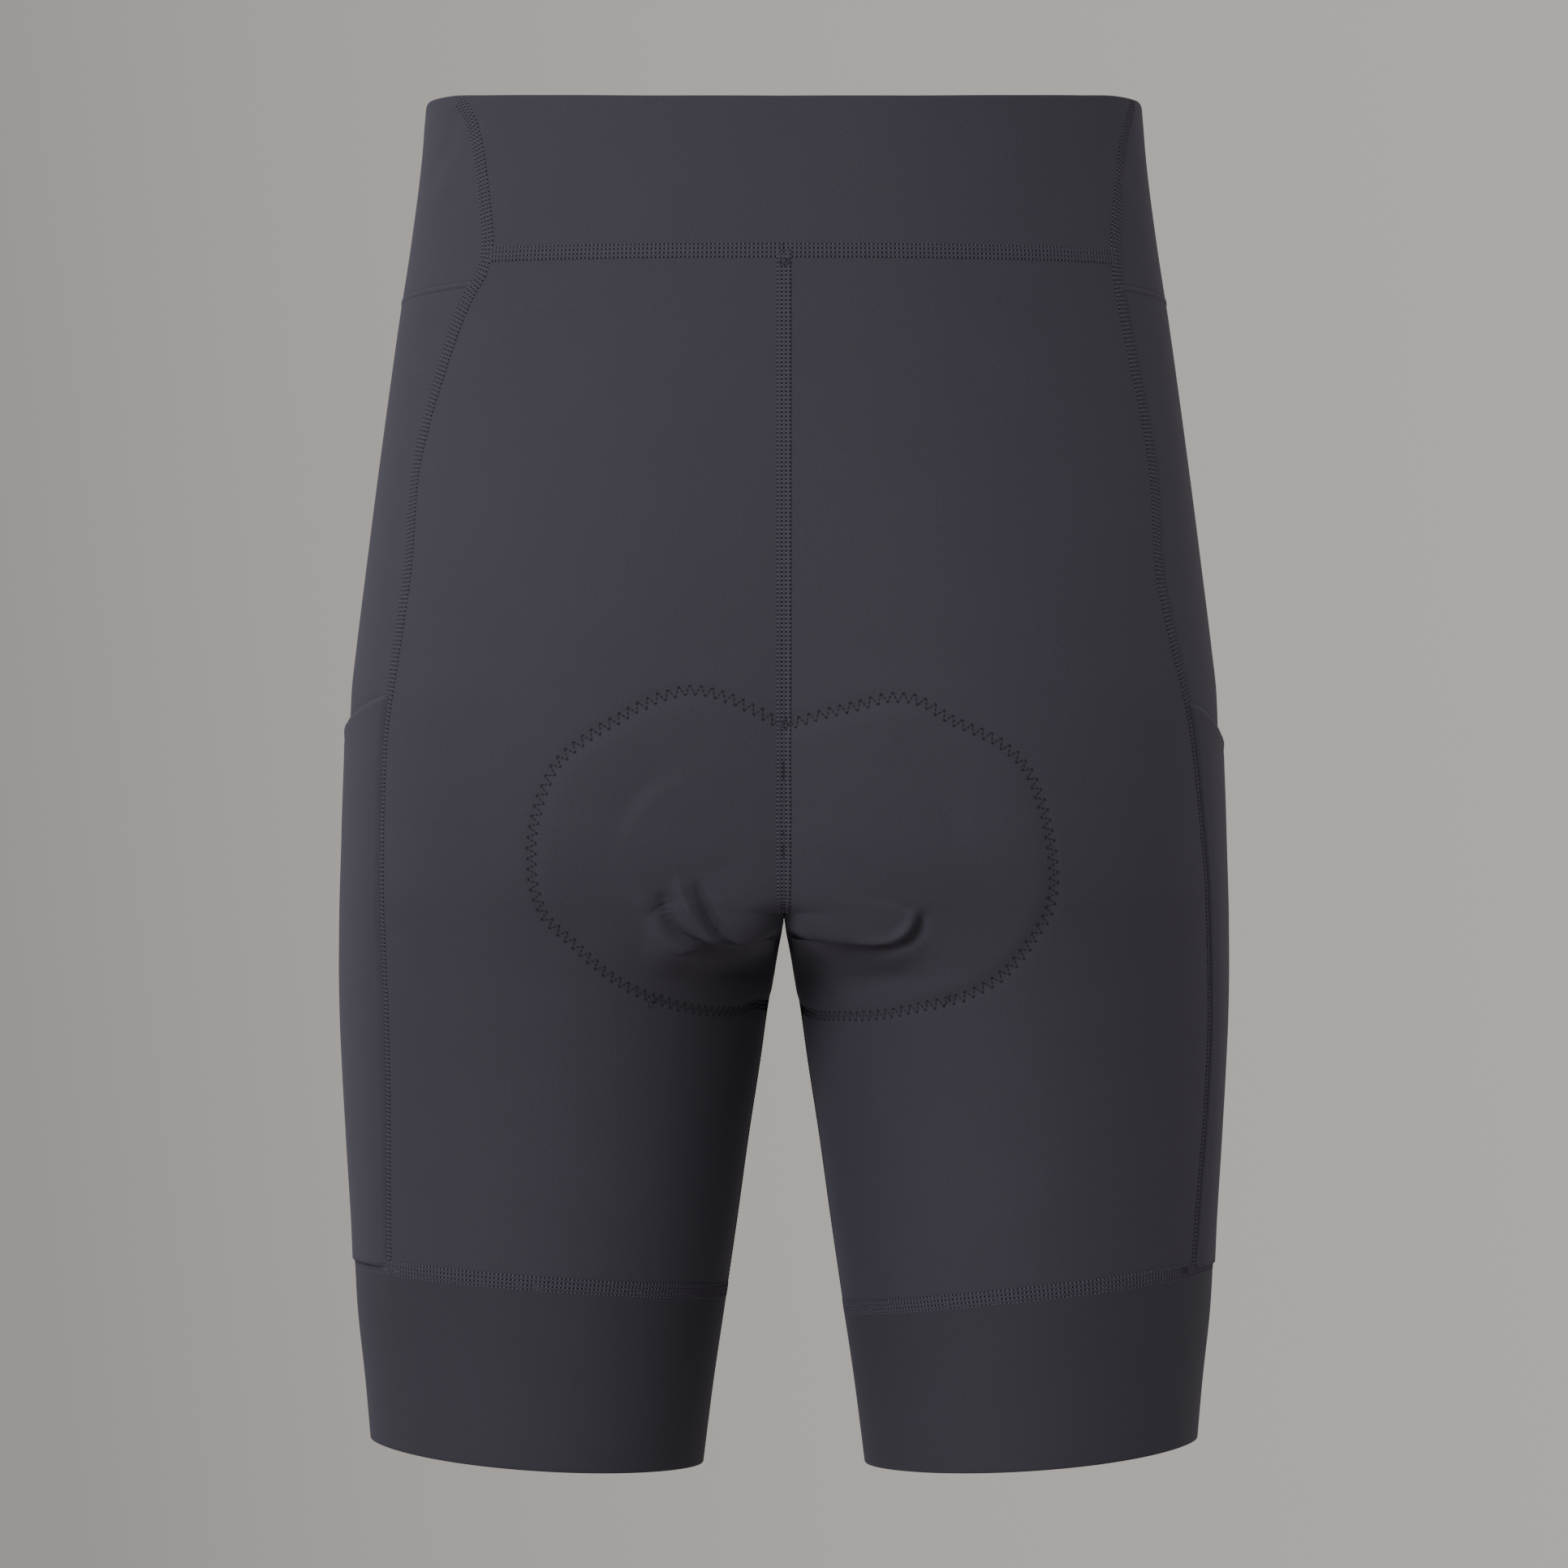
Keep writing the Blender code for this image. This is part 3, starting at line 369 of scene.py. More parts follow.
netForm = {"from": -26, "to": 300, "stations": 164, "step": 1.0}
netStations = np.linspace(netForm["from"], netForm["to"], netForm["stations"]) * mm
netOuts = np.arange(0, padShape["reach"] + 0.1, netForm["step"]) * mm
seamAngles, seamLevels = crotchLine(netStations)
netAhead = np.gradient(bodyPoint(seamAngles, seamLevels), axis=0)
netAhead[:, 0] = 0
netAngles, netLevels = laidAcross(seamAngles, seamLevels, unit(netAhead), 1, netOuts)


def gridValue(grid, rowAt, columnAt):
    r = np.clip(np.floor(rowAt).astype(int), 0, grid.shape[0] - 2)
    c = np.clip(np.floor(columnAt).astype(int), 0, grid.shape[1] - 2)
    a = rowAt - r
    b = columnAt - c
    if grid.ndim == 3:
        a = a[..., None]
        b = b[..., None]
    upper = grid[r, c] * (1 - b) + grid[r, c + 1] * b
    lower = grid[r + 1, c] * (1 - b) + grid[r + 1, c + 1] * b
    return upper * (1 - a) + lower * a


def netPlace(along, out):
    rowAt = (along - netStations[0]) / (netStations[1] - netStations[0])
    columnAt = out / (netOuts[1] - netOuts[0])
    return gridValue(netAngles, rowAt, columnAt), gridValue(netLevels, rowAt, columnAt)


def stitchLine(side, count):
    table = np.array(padShape["stitchLine"][side], float) * mm
    knots = np.concatenate([[0], np.cumsum(np.hypot(*np.diff(table, axis=0).T))])
    at = np.linspace(0, knots[-1], count)
    along = smoothCurve(knots, table[:, 0], at)
    out = smoothCurve(knots, table[:, 1], at)
    return netPlace(along, np.maximum(out, 0))


stitchLines = {side: stitchLine(side, 700) for side in (left, right)}
print("body surface and seat net ready")


# distance from points to a line of points, worked out in blocks
def distanceTo(points, line):
    flat = points.reshape(-1, 3)
    result = np.empty(len(flat))
    for start in range(0, len(flat), 4000):
        block = flat[start : start + 4000]
        result[start : start + 4000] = np.sqrt(((block[:, None] - line[None]) ** 2).sum(-1).min(1))
    return result.reshape(points.shape[:-1])


# 1 inside a closed line of the (angle, level) plane, 0 outside, by counting crossings
def insideLine(angle, level, lineAngle, lineLevel):
    inside = np.zeros(angle.shape, bool)
    for i in range(len(lineAngle)):
        j = i - 1
        a0, l0, a1, l1 = lineAngle[i], lineLevel[i], lineAngle[j], lineLevel[j]
        if l0 == l1:
            continue
        between = (l0 > level) != (l1 > level)
        inside ^= between & (angle < (a1 - a0) * (level - l0) / (l1 - l0) + a0)
    return inside


padPinch = {
    "groove": 0.55, "grooveWidth": 1.9, "fill": 0.7, "fillReach": 7, "levels": (-330, -150),
    "foamEdge": {left: ((36, -219), (46, -224), (55, -233), (60, -245)),
                 right: ((34, -218), (45, -222), (56, -231), (62, -246))},
    "foamStep": 0.9, "foamSoftness": 2.5, "foamReach": 13, "foamFacing": (40, 60),
}


# the zigzag pulls the cloth in, and the pad fills it out inside that line
def padRelief(points, angle, level, side):
    low, high = (value * mm for value in padPinch["levels"])
    nearby = (level > low) & (level < high)
    height = np.zeros(angle.shape)
    if not nearby.any():
        return height
    lineAngle, lineLevel = stitchLines[side]
    line = bodyPoint(lineAngle, lineLevel)
    away = distanceTo(points[nearby], line)
    turned = np.where(angle < -math.pi / 6, angle + 2 * math.pi, angle)[nearby]
    seamAngle, seamLevel = crotchLine(np.linspace(291, 0, 60) * mm)
    inside = insideLine(turned, level[nearby], np.concatenate([lineAngle[::6], seamAngle]),
                        np.concatenate([lineLevel[::6], seamLevel]))
    groove = -padPinch["groove"] * np.exp(-((away / (padPinch["grooveWidth"] * mm)) ** 2))
    fill = padPinch["fill"] * smoothStep(0, padPinch["fillReach"] * mm, away) * inside
    height[nearby] = (groove + fill) * mm
    return height


# the foam's own edge shows through on each lobe as a soft step down towards the outside
def foamRelief(points, side):
    x = np.abs(points[..., 0])
    level = points[..., 2]
    line, share = pathPoints(padPinch["foamEdge"][side])
    away = np.hypot(x[..., None] - line[:, 0], level[..., None] - line[:, 1])
    near = away.argmin(-1)
    ahead = np.gradient(line, axis=0)[near]
    outward = (x - line[near, 0]) * -ahead[..., 1] + (level - line[near, 1]) * ahead[..., 0]
    distance = np.sign(outward) * away.min(-1)
    taper = np.sin(np.pi * np.clip(0.04 + 0.92 * share[near], 0, 1))
    softness = padPinch["foamSoftness"] * mm
    reach = padPinch["foamReach"] * mm
    step = -smoothStep(-softness, softness, distance) * np.exp(-((away.min(-1) / reach) ** 2))
    low, high = (value * mm for value in padPinch["foamFacing"])
    return padPinch["foamStep"] * mm * step * taper * smoothStep(low, high, -points[..., 1])


# meshes
def meshObject(name, points, corners, sizes, uv, material):
    mesh = bpy.data.meshes.new(name)
    mesh.vertices.add(len(points))
    mesh.vertices.foreach_set("co", np.ascontiguousarray(points, np.float32).ravel())
    mesh.loops.add(len(corners))
    mesh.loops.foreach_set("vertex_index", np.ascontiguousarray(corners, np.int32))
    mesh.polygons.add(len(sizes))
    starts = np.concatenate([[0], np.cumsum(sizes)[:-1]])
    mesh.polygons.foreach_set("loop_start", starts.astype(np.int32))
    mesh.polygons.foreach_set("use_smooth", np.ones(len(sizes), bool))
    if uv is not None:
        layer = mesh.uv_layers.new(name="clothMap")
        layer.data.foreach_set("uv", np.ascontiguousarray(uv, np.float32).ravel())
    mesh.update(calc_edges=True)
    mesh.validate()
    mesh.materials.append(material)
    piece = bpy.data.objects.new(name, mesh)
    bpy.context.scene.collection.objects.link(piece)
    return piece


# wall between an outer and an inner grid of points, closed along its edges. u and v are the distances
# across and down the cloth, in metres, and become the map that the knit follows
def wallMesh(name, outer, inner, u, v, material, ring=False):
    rows, columns = outer.shape[:2]
    last = columns if ring else columns - 1
    r, c = np.meshgrid(np.arange(rows - 1), np.arange(last), indexing="ij")
    r = r.ravel()
    c = c.ravel()
    turnRows = np.stack([r, r + 1, r + 1, r], 1)
    turnColumns = np.stack([c, c, c + 1, c + 1], 1)
    skin = turnRows * columns + turnColumns % columns
    total = rows * columns
    around = np.arange(last)
    nextOne = (around + 1) % columns
    bottom = (rows - 1) * columns
    ends = total + bottom
    edges = [np.stack([around, nextOne, total + nextOne, total + around], 1),
             np.stack([bottom + nextOne, bottom + around, ends + around, ends + nextOne], 1)]
    zero = around * 0
    places = [(np.stack([zero] * 4, 1), np.stack([around, around + 1, around + 1, around], 1)),
              (np.stack([zero + rows - 1] * 4, 1),
               np.stack([around + 1, around, around, around + 1], 1))]
    if not ring:
        down = np.arange(rows - 1)
        first = down * columns
        final = first + columns - 1
        edges.append(np.stack([first + columns, first, total + first, total + first + columns], 1))
        edges.append(np.stack([final, final + columns, total + final + columns, total + final], 1))
        places.append((np.stack([down + 1, down, down, down + 1], 1), np.zeros((rows - 1, 4), int)))
        places.append((np.stack([down, down + 1, down + 1, down], 1), np.full((rows - 1, 4), columns - 1)))
    faces = np.concatenate([skin, total + skin[:, ::-1], *edges])
    placeRows = np.concatenate([turnRows, turnRows[:, ::-1], *[p[0] for p in places]])
    placeColumns = np.concatenate([turnColumns, turnColumns[:, ::-1], *[p[1] for p in places]])
    points = np.concatenate([outer.reshape(-1, 3), inner.reshape(-1, 3)])
    middle = faces[len(skin) // 2]
    facing = np.cross(points[middle[1]] - points[middle[0]], points[middle[3]] - points[middle[0]])
    if facing @ (points[middle[0]] - points[middle[0] + total]) < 0:
        faces = faces[:, ::-1]
        placeRows = placeRows[:, ::-1]
        placeColumns = placeColumns[:, ::-1]
    uv = np.stack([u[placeRows, placeColumns], v[placeRows, placeColumns % columns]], -1)
    return meshObject(name, points, faces.ravel(), np.full(len(faces), 4), uv, material)


# rounded fold at a free edge: both skins of the wall follow a half circle of its half thickness
def foldedEdge(distance, wall):
    radius = wall / 2
    fold = np.clip(radius - distance, 0, radius)
    chord = np.sqrt(np.maximum(radius**2 - fold**2, (0.05 * radius) ** 2))
    return -radius + chord, -radius - chord


puckers = {"height": 0.055, "short": 6.7, "long": 9.9, "swell": 61, "reach": 6.5}


# small waves that sewing leaves in stretch cloth, dying out a few millimetres from the seam
def pucker(distance, along, seed):
    turns = 2 * math.pi * along
    wave = np.sin(turns / (puckers["short"] * mm) + seed)
    wave = wave + 0.7 * np.sin(turns / (puckers["long"] * mm) + 2.3 * seed)
    swell = 0.6 + 0.4 * np.sin(turns / (puckers["swell"] * mm) + 1.7 * seed)
    fade = np.exp(-((distance / (puckers["reach"] * mm)) ** 2))
    return puckers["height"] * mm * wave * swell * fade


def arcs(points):
    across = np.linalg.norm(np.diff(points, axis=1), axis=2)
    down = np.linalg.norm(np.diff(points, axis=0), axis=2)
    u = np.concatenate([np.zeros((len(points), 1)), np.cumsum(across, 1)], 1)
    v = np.concatenate([np.zeros((1, points.shape[1])), np.cumsum(down, 0)], 0)
    return u, v


def spaced(start, end, count, focus, reach, extra):
    fine = np.linspace(start, end, 800)
    density = 1 + extra * np.exp(-(((fine - focus) / reach) ** 2))
    total = np.concatenate([[0], np.cumsum((density[1:] + density[:-1]) / 2)])
    return np.interp(np.linspace(0, total[-1], count), total, fine)


# a cloth piece: outer skin = body surface + lift along the normal, inner skin one wall further in
def clothPiece(name, angle, level, side, cloth, lift=0.0, topFold=False, lowFold=False, ring=False):
    wall = cloth["wall"] * mm
    points = bodyPoint(angle, level)
    normal = bodyNormal(angle, level)
    u, v = arcs(points)
    mirrored = points * np.array([side, 1, 1])
    height = lift + np.zeros(angle.shape)
    if cloth.get("seat"):
        height = height + foldHeight(mirrored, side) + padRelief(points, angle, level, side)
        height = height + foamRelief(mirrored, side)
    seed = 1.0 + side * 0.7 + len(name)
    if not ring:
        height = height + pucker(u, v, seed) + pucker(u[:, -1:] - u, v, seed + 2)
    if not topFold:
        height = height + pucker(v, u, seed + 4)
    if not lowFold:
        height = height + pucker(v[-1:] - v, u, seed + 5)
    high = 0.0
    low = -wall
    if topFold:
        high, low = foldedEdge(v, wall)
    if lowFold:
        high, low = foldedEdge(v[-1:] - v, wall)
    outer = points + (height + high)[..., None] * normal
    inner = points + (height + low)[..., None] * normal
    for layer in (outer, inner):
        if not ring and not cloth.get("wide"):
            layer[..., 0] = np.maximum(layer[..., 0], halfGap * 0.9)
        layer[..., 0] *= side
    return outer, inner, u, v


def placed(piece):
    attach(piece, "root")


def finishCloth(name, outer, inner, u, v, material, node, slot, restsOn, ring=False):
    if ring:
        lastStep = np.linalg.norm(outer[:, 0] - outer[:, -1], axis=-1)
        u = np.concatenate([u, u[:, -1:] + lastStep[:, None]], 1)
    piece = wallMesh(name, outer, inner, u, v, material, ring)
    placed(piece)
    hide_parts(node)


# materials
def toLinear(hexColour):
    parts = [int(hexColour[i : i + 2], 16) / 255 for i in (1, 3, 5)]
    return [p / 12.92 if p <= 0.04045 else ((p + 0.055) / 1.055) ** 2.4 for p in parts] + [1.0]


def addNode(tree, kind, settings=None, inputs=None):
    node = tree.nodes.new(kind)
    for key, value in (settings or {}).items():
        setattr(node, key, value)
    for key, value in (inputs or {}).items():
        if isinstance(value, bpy.types.NodeSocket):
            tree.links.new(value, node.inputs[key])
        else:
            node.inputs[key].default_value = value
    return node


def newMaterial(name, constants):
    material = bpy.data.materials.new(name)
    material.use_nodes = True
    shader = material.node_tree.nodes["Principled BSDF"]
    for key, value in constants.items():
        shader.inputs[key].default_value = value
    return material, material.node_tree, shader


def mapInMm(tree):
    place = addNode(tree, "ShaderNodeUVMap", {"uv_map": "clothMap"})
    scaled = addNode(tree, "ShaderNodeVectorMath", {"operation": "SCALE"}, {
        0: place.outputs["UV"], "Scale": 1000.0})
    return scaled.outputs[0]


def noiseOver(tree, vector, scale, detail, roughness=0.5):
    return addNode(tree, "ShaderNodeTexNoise", {}, {
        "Vector": vector, "Scale": scale, "Detail": detail, "Roughness": roughness}).outputs["Fac"]


def mixOf(tree, factor, first, second, blend="MIX"):
    return addNode(tree, "ShaderNodeMix", {"data_type": "RGBA", "blend_type": blend}, {
        "Factor": factor, 6: first, 7: second}).outputs[2]


def shades(finish):
    return toLinear(finish["dark"]), toLinear(finish["light"])


def smoothRange(tree, value, low, high):
    return addNode(tree, "ShaderNodeMapRange", {"interpolation_type": "SMOOTHSTEP"}, {
        "Value": value, "From Min": low, "From Max": high}).outputs["Result"]


def bumpFrom(tree, height, strength, distance, under=None):
    inputs = {"Height": height, "Strength": strength, "Distance": distance}
    if under is not None:
        inputs["Normal"] = under
    return addNode(tree, "ShaderNodeBump", {}, inputs).outputs["Normal"]


def coat(tree, shader, colour, normal):
    tree.links.new(colour, shader.inputs["Base Color"])
    tree.links.new(normal, shader.inputs["Normal"])


# Stretch knit: fine wales across the map's u, rows of loops along v, brushed so that the light
# catches short fibres as a soft sheen. Real wales are taken as 0.45 mm apart and drawn 0.9 mm apart
# to show.
def knitMaterial(name, finish):
    material, tree, shader = newMaterial(name, {
        "Roughness": finish["roughness"], "Specular IOR Level": finish["specular"], "IOR": 1.5,
        "Sheen Weight": finish["sheen"], "Sheen Roughness": 0.55,
        "Sheen Tint": toLinear(finish["sheenColour"]),
    })
    inMm = mapInMm(tree)
    wales = addNode(tree, "ShaderNodeTexWave", {"bands_direction": "X", "wave_profile": "SIN"}, {
        "Vector": inMm, "Scale": 0.314 / finish["waleSpacing"], "Distortion": 0.7,
        "Detail": 1.0, "Detail Scale": 2.0}).outputs["Fac"]
    loops = noiseOver(tree, inMm, 1 / finish["grain"], 3.0, 0.65)
    mottle = noiseOver(tree, inMm, 0.035, 3.0, 0.55)
    mottled = mixOf(tree, 0.10, mixOf(tree, loops, *shades(finish)), mottle, "MULTIPLY")
    waled = mixOf(tree, finish["waleDepth"], mottled, wales, "MULTIPLY")
    waleBump = bumpFrom(tree, wales, 0.35, 0.00006)
    coat(tree, shader, waled, bumpFrom(tree, loops, 0.6, finish["grainDepth"] * mm, waleBump))
    return material


jersey = {"roughness": 0.82, "specular": 0.3, "sheen": 0.22, "sheenColour": "#737189",
          "waleSpacing": 0.9, "waleDepth": 0.05, "grain": 0.75, "grainDepth": 0.07,
          "dark": "#2B2A34", "light": "#3D3B47"}
bodyKnit = knitMaterial("brushed_interlock_jersey", jersey)
waistKnit = knitMaterial("doubled_interlock_jersey", {**jersey, "dark": "#2C2B35"})
pocketKnit = knitMaterial("pocket_interlock_jersey", {**jersey, "dark": "#2C2B35", "light": "#3E3C48"})
bandKnit = knitMaterial("firm_power_jersey", {
    **jersey, "dark": "#292831", "light": "#373642", "sheen": 0.16, "grain": 0.6, "grainDepth": 0.05})


# Spun polyester sewing thread: plied, so fine twist lines break its low shine
def threadMaterial(name, finish):
    material, tree, shader = newMaterial(name, {"Roughness": 0.7, "Specular IOR Level": 0.2})
    place = addNode(tree, "ShaderNodeTexCoord")
    fibre = noiseOver(tree, place.outputs["Object"], 1600.0, 2.0)
    coat(tree, shader, mixOf(tree, fibre, *shades(finish)), bumpFrom(tree, fibre, 0.5, 0.00005))
    return material


def mathNode(tree, operation, *values):
    inputs = dict(enumerate(values))
    return addNode(tree, "ShaderNodeMath", {"operation": operation}, inputs).outputs[0]


needleThread = threadMaterial("spun_polyester_needle_thread", {"dark": "#4B4857", "light": "#625F70"})
coverThread = threadMaterial("textured_polyester_cover_thread", {"dark": "#383641", "light": "#494654"})
padThread = threadMaterial("pad_zigzag_thread", {"dark": "#1A1920", "light": "#282630"})
seamBed = threadMaterial("seam_looper_web", {"dark": "#302E39", "light": "#3F3C49"})

# The needles pierce the bed between their stitches: round pits in rows, on the bed's own map, pressed in by
# a bump and filled with near-black painted shade
pitsWithPaintedShade = {"rowSpacing": 1.6, "firstRow": 0.45, "pitch": 1.55, "clear": 0.46, "full": 0.2,
        "colour": "#08080B"}
bedTree = seamBed.node_tree
bedShader = bedTree.nodes["Principled BSDF"]
bedMap = addNode(bedTree, "ShaderNodeUVMap", {"uv_map": "clothMap"})
bedPlace = addNode(bedTree, "ShaderNodeSeparateXYZ", {}, {0: bedMap.outputs["UV"]})
squares = []
for channel, spacing, first in (("X", pitsWithPaintedShade["rowSpacing"], pitsWithPaintedShade["firstRow"]), ("Y", pitsWithPaintedShade["pitch"], 0.0)):
    inMm = mathNode(bedTree, "MULTIPLY_ADD", bedPlace.outputs[channel], 1000.0, spacing * 1.5 - first)
    fromPit = mathNode(bedTree, "SUBTRACT", mathNode(bedTree, "WRAP", inMm, spacing, 0.0), spacing / 2)
    squares.append(mathNode(bedTree, "MULTIPLY", fromPit, fromPit))
pitAway = mathNode(bedTree, "SQRT", mathNode(bedTree, "ADD", *squares))
pitPaintedShadeMask = smoothRange(bedTree, pitAway, pitsWithPaintedShade["full"], pitsWithPaintedShade["clear"])
bedColour = bedShader.inputs["Base Color"].links[0].from_socket
# painted shade: the pit mask darkens the bed to near-black inside each needle hole, and the same mask sinks
# it as a bump
coat(bedTree, bedShader, mixOf(bedTree, pitPaintedShadeMask, toLinear(pitsWithPaintedShade["colour"]), bedColour),
     bumpFrom(bedTree, pitPaintedShadeMask, 0.8, 0.0003))

# Brushed microfibre over moulded foam: no visible weave, a soft nap and small vent dimples 4 mm apart, their
# hollows darkened with painted shade
padFabric = {"dark": "#2C2C33", "light": "#3C3C45", "ventShade": "#1C1C21", "ventEdge": (0.12, 0.28)}
padMaterial, padTree, padShader = newMaterial("brushed_microfibre_on_foam", {
    "Roughness": 0.9, "Specular IOR Level": 0.2, "Sheen Weight": 0.5, "Sheen Roughness": 0.5})
padMm = mapInMm(padTree)
padNap = noiseOver(padTree, padMm, 0.9, 4.0)
padVents = addNode(padTree, "ShaderNodeTexVoronoi", {"feature": "F1"}, {
    "Vector": padMm, "Scale": 0.25, "Randomness": 0.0})
padDimpleAndShade = smoothRange(padTree, padVents.outputs["Distance"], *padFabric["ventEdge"])
padColour = mixOf(padTree, padNap, *shades(padFabric))
# painted shade: the vent colour darkens the hollow of each dimple, and the same mask dents it as a bump
coat(padTree, padShader, mixOf(padTree, padDimpleAndShade, toLinear(padFabric["ventShade"]), padColour),
     bumpFrom(padTree, padDimpleAndShade, 0.8, 0.0005, bumpFrom(padTree, padNap, 0.5, 0.00015)))
print("materials ready")


# leg panels: columns run from the side seam (share 0) to the centre seam and inner leg (share 1)
legPanel = {"wall": 1.2, "seat": True, "rowsAbove": 150, "rowsBelow": 62, "columns": 112}


def centreRow(level, side, behind):
    start = bodyForm["seatCurveStart"] * mm
    outer, inner = (value * mm for value in bodyForm["bandSeam"][side])
    share = np.clip((start - level) / (start - crotchRow), 0, 1)
    lineLevel = crotchLevel + (start - crotchLevel) * np.linspace(1, 0, 1200) ** 6
    depthName = "back" if behind else "front"
    lineAngle = centreAngle(lineLevel, depthName, halfGap)
    line = bodyPoint(lineAngle if behind else -lineAngle, lineLevel)
    gone = lengthAlong(line)
    curve = np.interp(share, gone / gone[-1], lineLevel)
    leg = crotchLevel + (level - crotchRow) / (outer - crotchRow) * (inner - crotchLevel)
    return np.where(level > start, level, np.where(level > crotchRow, curve, leg))


# shifts the rows near an edge so that the edge row lies on its own line
def fitRow(level, row, target, reach):
    start = level[row].copy()
    fade = np.clip(1 - np.abs(level - start) / reach, 0, 1)
    return level + (target - start) * fade


# mean of the values of a column of rows, weighted towards the rows near each one
def evened(rows, values):
    weight = np.exp(-(((rows - rows.T) / (14 * mm)) ** 2)) * np.abs(np.gradient(rows[:, 0]))
    return (weight @ values) / weight.sum(1, keepdims=True)


def legPanelGrid(side, behind):
    edge = backWaistSeam if behind else frontWaistSeam(np.array(-math.pi / 4))
    bottom = bodyForm["bandSeam"][side][0] * mm + halfGap
    above = spaced(edge - halfGap, crotchRow, legPanel["rowsAbove"], -272 * mm, 38 * mm, 1.6)
    below = spaced(crotchRow, bottom, legPanel["rowsBelow"], -290 * mm, 30 * mm, 0.8)
    rows = np.concatenate([above, below[1:]])[:, None]
    share = spaced(0, 1, legPanel["columns"], 1.0, 0.4, 1.6)
    centreRows = centreRow(rows, side, behind)
    centre = centreAngle(centreRows, "back" if behind else "front", halfGap)
    # the centre line turns a corner at the crotch: the columns follow an evened line and take up the
    # corner only close to it
    drop = centreRows - rows
    evenDrop = evened(rows, drop)
    evenCentre = evened(rows, centre)
    level = rows + evenDrop * share**2 + (drop - evenDrop) * share**6
    for _ in range(5):
        seam = backSeamAngle(level, side) if behind else -frontSeamAngle(level)
        angle = seam + gapTurn + (evenCentre - seam - gapTurn) * share + (centre - evenCentre) * share**6
        if not behind:
            level = fitRow(level, 0, frontWaistSeam(-angle[0]) - halfGap, 60 * mm)
        level = fitRow(level, -1, bandSeam(angle[-1], side) + halfGap, 60 * mm)
    return angle, level


for side, word in sideWord.items():
    for behind, name in ((True, "back_panel_"), (False, "front_panel_")):
        angle, level = legPanelGrid(side, behind)
        turned = angle if behind else -angle
        shown = clothPiece(name + word, turned, level, side, legPanel)
        finishCloth(name + word + "_jersey", *shown, bodyKnit, name + word, "body_knit",
                    ["waistband_back_jersey"])
print("leg panels made")


# side panels, and the pocket layer on each
sidePanel = {"wall": 1.2, "wide": True, "rows": 190, "columns": 36, "sink": 0.95, "sinkStart": 6}
pocket = {"wall": 1.0, "wide": True, "rows": 110, "columns": 36, "stand": 0.8, "standReach": 70,
          "edgeLift": 0.45, "lift": 1.3, "edgeReach": 6, "hemLine": 4.5, "hem": 0.16, "hemDip": 0.2}


def sideAngle(level, side, share):
    front = frontSeamAngle(level) + gapTurn
    back = backSeamAngle(level, side) - gapTurn
    return front + (back - front) * share


def sideGrid(side, top, rows, columns):
    share = np.linspace(0, 1, columns)
    bottom = bodyForm["bandSeam"][side][0] * mm + halfGap
    level = np.linspace(0, 1, rows)[:, None] * (bottom - top) + top + 0 * share
    for _ in range(5):
        angle = sideAngle(level, side, share)
        level = fitRow(level, -1, bandSeam(angle[-1], side) + halfGap, 60 * mm)
        if top > -100 * mm:
            level = fitRow(level, 0, frontWaistSeam(angle[0]) - halfGap, 60 * mm)
        else:
            level = fitRow(level, 0, pocketMouth(angle[0], side), 60 * mm)
    return sideAngle(level, side, share), level, share


# distance over the cloth from the nearer side seam, and down from the top edge
def fromEdges(angle, level):
    u, v = arcs(bodyPoint(angle, level))
    return np.minimum(u, u[:, -1:] - u), v


for side, word in sideWord.items():
    panel = "side_panel_" + word
    angle, level, _ = sideGrid(side, -43 * mm, sidePanel["rows"], sidePanel["columns"])
    fromSeam, _ = fromEdges(angle, level)
    covered = smoothStep(0, sidePanel["sinkStart"] * mm, pocketMouth(angle, side) - level)
    nearSeam = np.exp(-((fromSeam / (pocket["edgeReach"] * mm)) ** 2))
    sink = -sidePanel["sink"] * mm * covered * nearSeam
    shown = clothPiece(panel, angle, level, side, sidePanel, lift=sink)
    finishCloth(panel + "_jersey", *shown, bodyKnit, panel, "body_knit", ["waistband_front_jersey"])
    angle, level, share = sideGrid(side, -200 * mm, pocket["rows"], pocket["columns"])
    below = pocketMouth(angle, side) - level
    fromSeam, v = fromEdges(angle, level)
    stand = pocket["stand"] * mm * np.exp(-((below / (pocket["standReach"] * mm)) ** 2))
    stand = stand * (1 - (2 * share - 1) ** 4)
    clear = 1 - np.exp(-((fromSeam / (pocket["edgeReach"] * mm)) ** 2))
    lying = (pocket["edgeLift"] + (pocket["lift"] - pocket["edgeLift"]) * clear) * mm
    hemLine = pocket["hemLine"] * mm
    hem = pocket["hem"] * mm * smoothStep(hemLine + 0.8 * mm, hemLine - 0.4 * mm, v)
    dip = -pocket["hemDip"] * mm * np.exp(-(((v - hemLine) / (0.9 * mm)) ** 2))
    layer = "side_pocket_" + word
    shown = clothPiece(layer, angle, level, side, pocket, lift=lying + stand + hem + dip, topFold=True)
    finishCloth(layer + "_jersey", *shown, pocketKnit, layer, "pocket_knit", [panel + "_jersey"])
print("side panels and pockets made")


